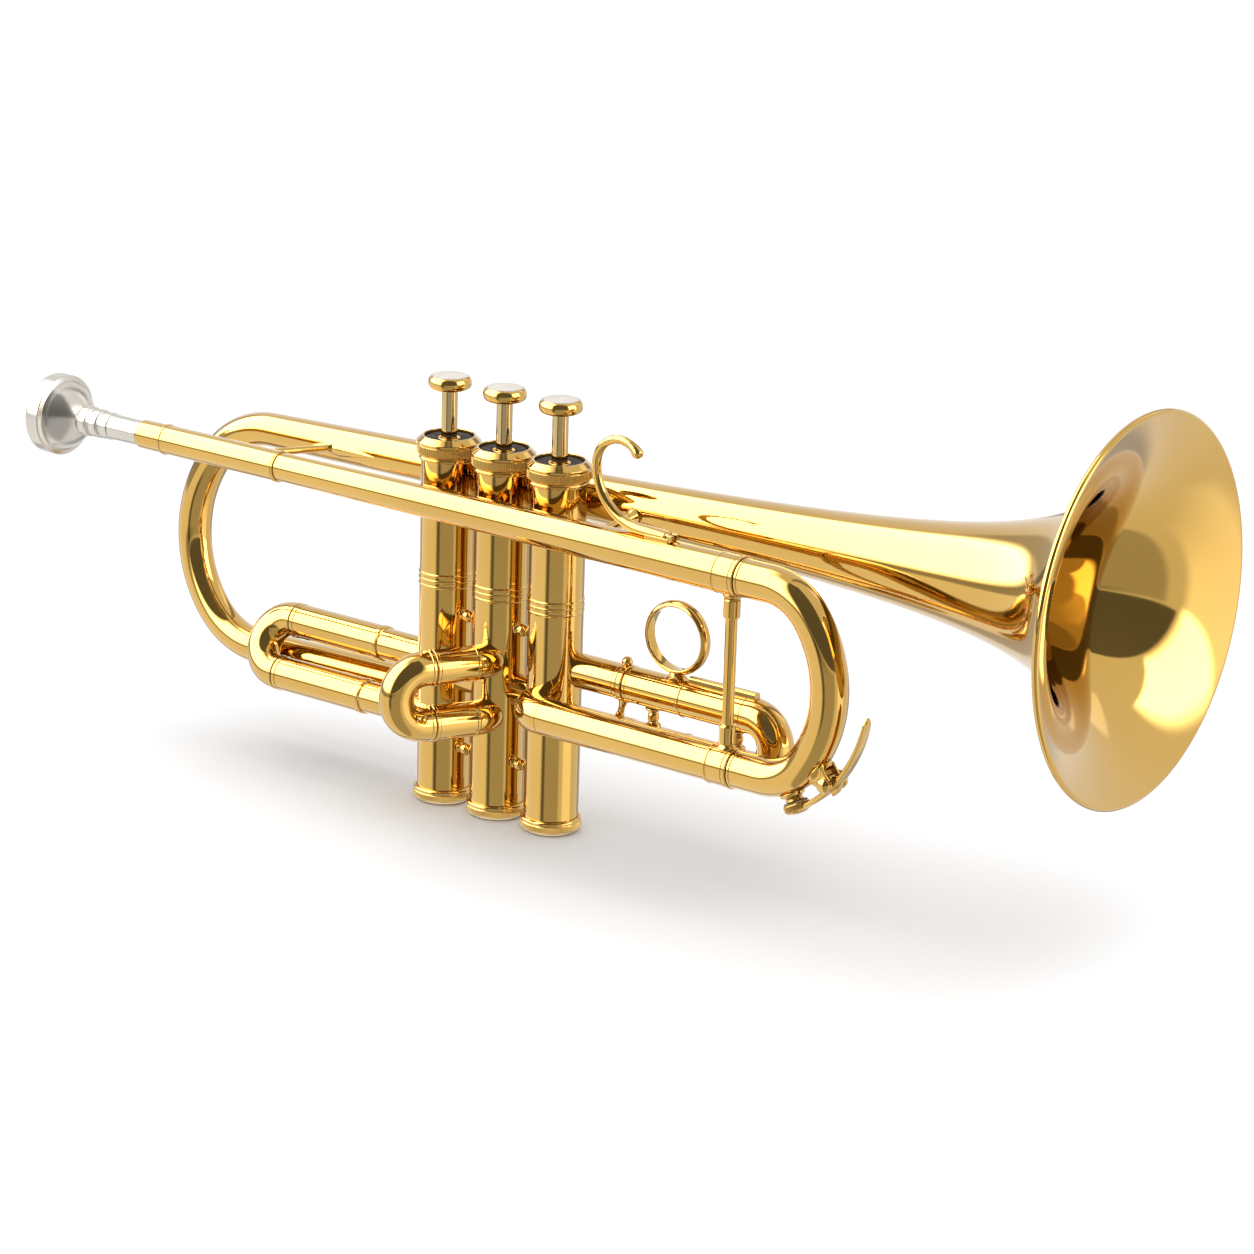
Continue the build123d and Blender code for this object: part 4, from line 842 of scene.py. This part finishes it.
sleeve_outline = (
    [(third_sleeve_start, sleeve_bore)]
    + shift(third_sleeve_start, third_r, (0, -0.1), (0.25, 0.12), (1.1, 0.12), (1.3, 0))
    + shift(third_ring_x, third_r, (-0.7, 0), (-0.5, 0.18), (0.2, 0.18), (0.4, -0.1))
    + shift(third_end, third_r, (-0.15, -0.1), (0, -0.25)) + [(third_end, sleeve_bore)])
piece("third_sleeves", "third_slide", BRASS, [carried(sleeve_outline, line, 72) for line in third_lines],
      "third_slide_sleeves")
third_half = (third_heights[0] - third_heights[1]) / 2
third_crook = Route((third_end, third_y, third_heights[0]), X, -Z,
                    [(1.8, 0)] + arch(third_half, third_half, 0) + [(1.8, 0)])
piece("third_crook", "third_slide", BRASS,
      [carried(mirrored(0, third_crook.length, (0, sleeve_bore), (0, third_r - 0.2), (0.2, third_r)),
               third_crook, 72, stride=1.1)], "third_slide_bow")

post_outline = mirrored(third_heights[1] + third_r - 0.2, third_heights[0] - third_r + 0.2, (0, 0), (0, 2.8),
                        (0.7, 2.7), (1.7, 1.4), (2.3, 1.9))
piece("third_pillars", "third_slide", BRASS,
      [carried(post_outline, upright(x, third_y), 40, 0.4, closed=False) for x in (62.5, 96.5)],
      "third_slide_posts")

ring_r, ring_half_w, ring_t = 12.5, 2.3, 2.1
ring_centre = np.array([middle("finger_ring")[0], third_y, corners("finger_ring")[1][2] - ring_r])
ring_hoop = (
    mirrored(0, 0, (-ring_half_w, -1.5), (-ring_half_w + 0.5, -0.45), (-0.8, 0), radius=ring_r)
    + shift(0, ring_r - ring_t, (ring_half_w - 0.4, 0.1), (0, -0.05), (-ring_half_w + 0.4, 0.1)))
ring_foot_z = ring_centre[2] - ring_r
ring_foot = carried([(-1.6, 0), (-1.6, 4.2), (-0.6, 3.1), (0.1, 2.2), (0.9, 1.9), (0.9, 0)],
                    Route((ring_centre[0], third_y, ring_foot_z), Z, X), 48, 0.4, closed=False)
piece("finger_hoop", "third_slide", BRASS,
      [carried(ring_hoop, Route(ring_centre, Y, Z), 144, 0.6), ring_foot], "finger_ring")

rail_low, rail_high = corners("third_slide_rail")
rail_half = (rail_high[1] - rail_low[1]) / 2
rail_base = third_heights[0] + third_r - 0.35
piece("slide_rail", "third_slide", BRASS,
      [plate([(-rail_half, -0.9), (-rail_half + 0.3, 0.9), (-rail_half + 0.8, 1.35), (rail_half - 0.8, 1.35),
              (rail_half - 0.3, 0.9), (rail_half, -0.9)],
             np.array([(rail_low[0] + rail_high[0]) / 2, third_y, rail_base + 0.9]), Y, Z,
             (rail_high[0] - rail_low[0]) / 2, 0.3)], "third_slide_rail")

# ---- main tuning slide
bow_start = corners("tuning_bow")[0][0]
bow_run, reach, corner = 10.0, 24.0, 20.0
bow_half = (lead_z - lower_z) / 2
main_bow = Route((bow_start, lead_y, lead_z), X, -Z,
                 [(bow_run, 0)] + arch(bow_half, reach, corner) + [(bow_run, 0)])


def bow_side(angle):
    """Place on the bow's centre line where its outward normal is turned by an angle from
    straight down, and that normal."""
    turn = math.radians(angle)
    out = np.array([math.sin(turn), 0, -math.cos(turn)])
    bends = arch(bow_half, reach, corner)
    corner_turn = bends[0][1]
    side_r = bends[1][0] / math.radians(bends[1][1])
    base = np.array([bow_start + bow_run, lead_y, (lead_z + lower_z) / 2])
    if angle <= corner_turn:
        return base + np.array([0, 0, corner - bow_half]) + out * corner, out
    return base + np.array([reach - side_r, 0, 0]) + out * side_r, out


nipple_at, nipple_out = bow_side(27.0)
key_line = Route(nipple_at, nipple_out, Y)
nipple_top = main_r + 2.2
nipple_outline = (
    shift(main_r, 0, (-0.9, 1.6), (-0.9, 4.3), (0.3, 4.0), (0.7, 3.0), (1.2, 2.7), (1.6, 3.0))
    + shift(nipple_top, 0, (-0.2, 3.0), (0, 2.6), (0, 1.6)))
main_bow_outline = mirrored(0, main_bow.length, (0, main_leg_r), (0, main_r), (0.15, main_r + 0.2),
                            (0.9, main_r + 0.2), (1.1, main_r))
piece("main_bow", "tuning_slide", BRASS,
      [carried(main_bow_outline, main_bow, 96, stride=1.1), carried(nipple_outline, key_line, 56, 0.25)],
      "tuning_bow")
legs_start = corners("tuning_slide_legs")[0][0]
piece("main_legs", "tuning_slide", NICKEL,
      [tube(line, main_leg_r, main_leg_r - 0.6, legs_start, bow_start + bow_run, stride=400)
       for line in (lead, lower)], "tuning_slide_legs")

pivot_at, pivot_out = bow_side(56.0)
pivot = pivot_at + pivot_out * (main_r + 4.3)
pivot_along = np.array([-pivot_out[2], 0, pivot_out[0]])
half_wide, ear = 2.5, 1.2
cheek_outline = [(-4.0, -4.8), (4.0, -4.8), (2.7, -1.6), (2.5, 0), (2.1, 1.6), (1.1, 2.4), (0, 2.6),
                 (-1.1, 2.4), (-2.1, 1.6), (-2.5, 0), (-2.7, -1.6)]
cheeks = [plate(cheek_outline, pivot + Y * side * (half_wide + 0.15 + ear / 2), pivot_along, pivot_out,
                ear / 2, 0.35) for side in (-1, 1)]
saddle_foot = carried(shift(main_r, 0, (-1.2, 0), (-1.2, 5.2), (-0.3, 4.8), (0.5, 4.1), (0.8, 3.4), (0.8, 0)),
                      Route(pivot_at, pivot_out, Y), 56, 0.4, closed=False)
piece("key_saddle", "tuning_slide", BRASS, cheeks + [saddle_foot], "water_key_saddle")
pin_line = Route(pivot, -Y, Z)
out = half_wide + 0.15 + ear
pin_outline = (
    shift(-out, 0, (-2.9, 0), (-2.8, 1.3), (-2.1, 2.5), (-1.0, 3.2), (-0.1, 2.9), (0, 0.9))
    + shift(out, 0, (0, 0.9), (0.1, 2.4), (0.7, 2.6), (1.5, 2.0), (2.0, 1.0), (2.1, 0)))
piece("key_pin", "tuning_slide", BRASS, [carried(pin_outline, pin_line, 48, 0.9, closed=False)],
      "water_key_pin")

cork_base = nipple_top + 0.05
cork_r, cork_h, pad_r = 4.0, 1.3, 4.4
cup_top = cork_base + cork_h + 2.6
piece("key_cork", "water_key", CORK,
      [carried(shift(cork_base, 0, (0, 0), (0, cork_r - 0.05), (cork_h - 0.02, cork_r - 0.05),
                     (cork_h - 0.02, 0)), key_line, 48, 0.2, closed=False)], "water_key_cork")
cup_outline = (
    shift(cork_base, 0, (0.5, cork_r), (0.55, pad_r - 0.15), (0.8, pad_r))
    + shift(cup_top, 0, (-1.3, pad_r), (-0.6, pad_r - 0.5), (0, pad_r - 1.9), (0, 0.3))
    + [(cork_base + cork_h, 0.3), (cork_base + cork_h, cork_r)])
cup = carried(cup_outline, key_line, 72, 0.2, knurl=(cork_base + 0.7, cup_top - 1.2, 36, 0.35))
tip = np.array([159.2, lead_y, 73.6])
heel = nipple_at + nipple_out * (cup_top - 1.5)
bulge = np.array([pivot[0] + 5.3, lead_y, pivot[2] + 4.4])


def arc_route(first, middle_point, last):
    """The arc through three points in a plane of constant y, as a route."""
    a, b, c = (np.array([p[0], p[2]]) for p in (first, middle_point, last))
    system = 2 * np.array([b - a, c - a])
    centre = np.linalg.solve(system, [b @ b - a @ a, c @ c - a @ a])
    radius = np.linalg.norm(a - centre)
    way = [math.atan2(*(p - centre)[::-1]) for p in (a, b, c)]
    turn = (way[2] - way[0] + math.pi) % (2 * math.pi) - math.pi
    spin = math.copysign(1.0, turn)
    heading = spin * np.array([-math.sin(way[0]), 0, math.cos(way[0])])
    inwards = -np.array([math.cos(way[0]), 0, math.sin(way[0])])
    return Route(first, heading, inwards, [(radius * abs(turn), math.degrees(abs(turn)))])


blade_route = arc_route(heel, bulge, tip)
quarter = math.pi / 2
share = np.unique(np.concatenate([(1 - np.cos(np.linspace(0, quarter, 8))) * 0.03,
                                  np.linspace(0.035, 0.955, 60),
                                  1 - 0.04 * (1 - np.sin(np.linspace(0, quarter, 9)))]))
ends = np.maximum(np.sqrt(np.clip(share / 0.04, 0, 1)) * np.sqrt(np.clip((1 - share) / 0.05, 0, 1)), 0.02)
wide = np.interp(share, [0, 0.15, 0.35, 0.5, 0.8, 1], [2.0, 2.3, 2.5, 2.5, 2.45, 1.9]) * ends
thick = np.interp(share, [0, 0.1, 0.4, 0.6, 1], [1.0, 0.95, 1.1, 0.95, 0.6]) * ends
blade = bar(blade_route, share * blade_route.length, wide, thick, 0.6, 40)
barrel_half = 1.4
barrel = carried(mirrored(0, 0, (-barrel_half, 0.95), (-barrel_half, 2.3), (-1.0, 2.6)), pin_line, 56, 0.25)
web = plate([(0.4, 2.2), (4.4, 4.0), (5.0, 2.2), (3.2, -2.4), (1.6, -4.2), (0.2, -2.2)],
            pivot, X, Z, barrel_half - 0.2, 0.4)
piece("key_lever", "water_key", BRASS, [cup, blade, barrel, web], "water_key_lever")

# ---- mouthpiece
rim_r = 14.3


def curve(first, bend, last, count=14):
    """Points of a quadratic curve from first to last that is pulled towards bend."""
    t = np.linspace(0, 1, count)[:, None]
    first, bend, last = np.array(first), np.array(bend), np.array(last)
    return ((1 - t) ** 2 * first + 2 * t * (1 - t) * bend + t ** 2 * last).tolist()


mouth_outline = (
    shift(mouth_x, 0, *curve((0.15, 10.6), (0, 12.4), (0.35, 13.4), 8),
          *curve((0.6, 13.8), (1.0, rim_r), (1.9, rim_r), 5), (6.4, rim_r), (6.7, 13.95), (6.9, 13.1),
          *curve((7.0, 12.6), (7.3, 12.2), (7.8, 12.0), 4), *curve((8.2, 11.8), (13.0, 9.8), (16.2, 4.5), 16),
          (16.5, 4.5), (16.8, 5.1), (17.4, 5.35), (19.8, 5.35), (20.6, 5.1), (20.9, 4.45), (21.7, 4.45),
          (22.0, 4.95), (22.5, 5.1), (25.2, 5.05), (25.8, 4.8), (26.0, 4.3), (26.8, 4.3), (27.1, 4.75),
          (27.6, 4.85), (30.4, 4.75), (31.0, 4.45))
    + [(receiver_start - 0.6, 4.38), (receiver_start - 0.2, 4.2), (shank_end, 4.2), (shank_end, 3.6)]
    + shift(mouth_x, 0, (20.0, 1.9), (13.5, 1.9), *curve((12.8, 2.0), (9.3, 6.6), (3.4, 8.2), 16),
            *curve((2.6, 8.5), (0.5, 9.2), (0.18, 10.3), 8)))
piece("cup_mouthpiece", "mouthpiece_piece", SILVER, [carried(mouth_outline, lead, 128, 0.18)], "mouthpiece")

# ---- finishes of the pieces that keep their CAD shape
kept_finishes = {"piston_1": ALLOY, "piston_2": ALLOY, "piston_3": ALLOY, "valve_spring_1": STEEL,
                 "valve_spring_2": STEEL, "valve_spring_3": STEEL, "valve_guides": NYLON,
                 "water_key_spring": STEEL}
for name, material in kept_finishes.items():
    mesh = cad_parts[name].data
    mesh.materials.clear()
    mesh.materials.append(material)


# ---- studio
def set_lens(camera, place, yaw, pitch, roll):
    """Puts the camera at a place, looking along a direction given by angles."""
    y, e, r = (math.radians(a) for a in (yaw, pitch, roll))
    back = np.array([math.sin(y) * math.cos(e), -math.cos(y) * math.cos(e), math.sin(e)])
    level_right = np.array([math.cos(y), math.sin(y), 0.0])
    level_up = np.cross(back, level_right)
    right = math.cos(r) * level_right + math.sin(r) * level_up
    up = math.cos(r) * level_up - math.sin(r) * level_right
    camera.matrix_world = Matrix.Translation(place) @ Matrix((right, up, back)).transposed().to_4x4()


floor_mesh = bpy.data.meshes.new("floor")
floor_mesh.from_pydata([(-6, -6, 0), (6, -6, 0), (6, 6, 0), (-6, 6, 0)], [], [(0, 1, 2, 3)])
floor = bpy.data.objects.new("floor", floor_mesh)
bpy.context.scene.collection.objects.link(floor)
pale, pale_shader, pale_place = finish("pale_floor", 0.9, 0.0)
plug(pale_shader, Base_Color=noise(pale_place, 6.0, 2.0).blend((0.560, 0.566, 0.576), (0.575, 0.581, 0.591)))
floor_mesh.materials.append(pale)
floor.visible_glossy = False

scene = bpy.context.scene
world = bpy.data.worlds.new("studio")
scene.world = world
world.use_nodes = True
tree = world.node_tree
tree.nodes.clear()
seen = Wire(tree, None).node("TexCoord")
split = seen.node("SeparateXYZ", {"Vector": seen})
x, y, z = (Wire(tree, output) for output in split.socket.node.outputs)
view_azimuth = math.radians(-53.2)
ahead = x * math.cos(view_azimuth) + y * math.sin(view_azimuth)
aside = y * math.cos(view_azimuth) - x * math.sin(view_azimuth)
bearing = aside.math("ARCTAN2", ahead)
height = z.node("Math", {0: z}, operation="ARCSINE")


def within(value, low, high, soft=0.02):
    """1 between two values, with soft edges."""
    return value.step(low - soft, low + soft) * (1 - value.step(high - soft, high + soft))


# A bright room round a large overhead softbox: a bright sheet from the low left over the
# top, mid-tone walls, darker ground, a dark window behind the camera and a few strips.
left_box = ((bearing + height * 0.58).step(-2.18, -1.95) * (1 - bearing.step(-0.98, -0.72))
            * height.step(0.02, 0.16) * (1 - height.step(0.95, 1.35)))
right_side = within(bearing, 0.80, 1.48, 0.09)
right_box = right_side * within(height, -0.01, 0.62, 0.03)
right_glow = right_side * (1 - height.step(-0.02, 0.01)) * height.step(-0.95, -0.05)
far_box = within(bearing, 2.06, 2.36, 0.03) * within(height, 0.35, 0.80, 0.04)
window = within(bearing, -0.74, 0.70, 0.03) * within(height, 0.03, 1.40, 0.015)
far_dark = within(bearing, 2.36, 2.62, 0.03) * height.step(0.25, 0.35)
low_dark = within(bearing, 2.30, 2.85, 0.10) * (1 - height.step(-0.30, -0.15))
left_dark = within(bearing, -2.66, -2.34, 0.05) * (1 - height.step(0.60, 0.75))
below = 1 - height.step(-0.02, 0.02)
ground = below * within(bearing, -0.80, 0.50, 0.07)
gap_line = below * within(bearing, -0.72, -0.52, 0.06) * height.step(-0.55, -0.35)
near_ground = below * within(bearing, -2.27, -0.80, 0.12)
horizon = within(height, -0.085, 0.03, 0.02) * (1 - bearing.step(-0.9, 0.2))
light = 1.02 + left_box * 5.4 + right_box * 4.8 + right_glow * 0.8 + far_box * 0.5
light = light * (1 - window * 0.84) * (1 - far_dark * 0.6) * (1 - low_dark * 0.5) * (1 - left_dark * 0.4)
light = light * (1 - ground * 0.42) * (1 + near_ground * 0.22) * (1 - horizon * 0.6) * (1 - gap_line * 0.7)
lamp = z.step(0.35, 0.95) * 3.0 + 0.35
mirrored_light, spread, plain = (
    light.node("Background", {"Color": (1.0, 1.0, 1.0, 1), "Strength": strength})
    for strength in (light, lamp, 1.0))
seen_by_camera = light.node("LightPath")
seen_by_metal = light.node("LightPath", output=3)
lit = light.node("MixShader", {0: seen_by_metal, 1: spread, 2: mirrored_light})
mixed = light.node("MixShader", {0: seen_by_camera, 1: lit, 2: plain})
output = tree.nodes.new("ShaderNodeOutputWorld")
tree.links.new(mixed.socket, output.inputs["Surface"])

camera_data = bpy.data.cameras.new("camera")
camera_data.lens = 118.7
camera_data.sensor_width = 36.0
camera_data.clip_start, camera_data.clip_end = 0.05, 30.0
camera = bpy.data.objects.new("camera", camera_data)
scene.collection.objects.link(camera)
set_lens(camera, np.array([824.032, -1032.239, 476.158]) * MM, yaw=36.761, pitch=17.22, roll=1.729)
scene.camera = camera
scene.view_settings.view_transform = "Standard"
scene.view_settings.look = "None"
scene.view_settings.exposure = 0.0
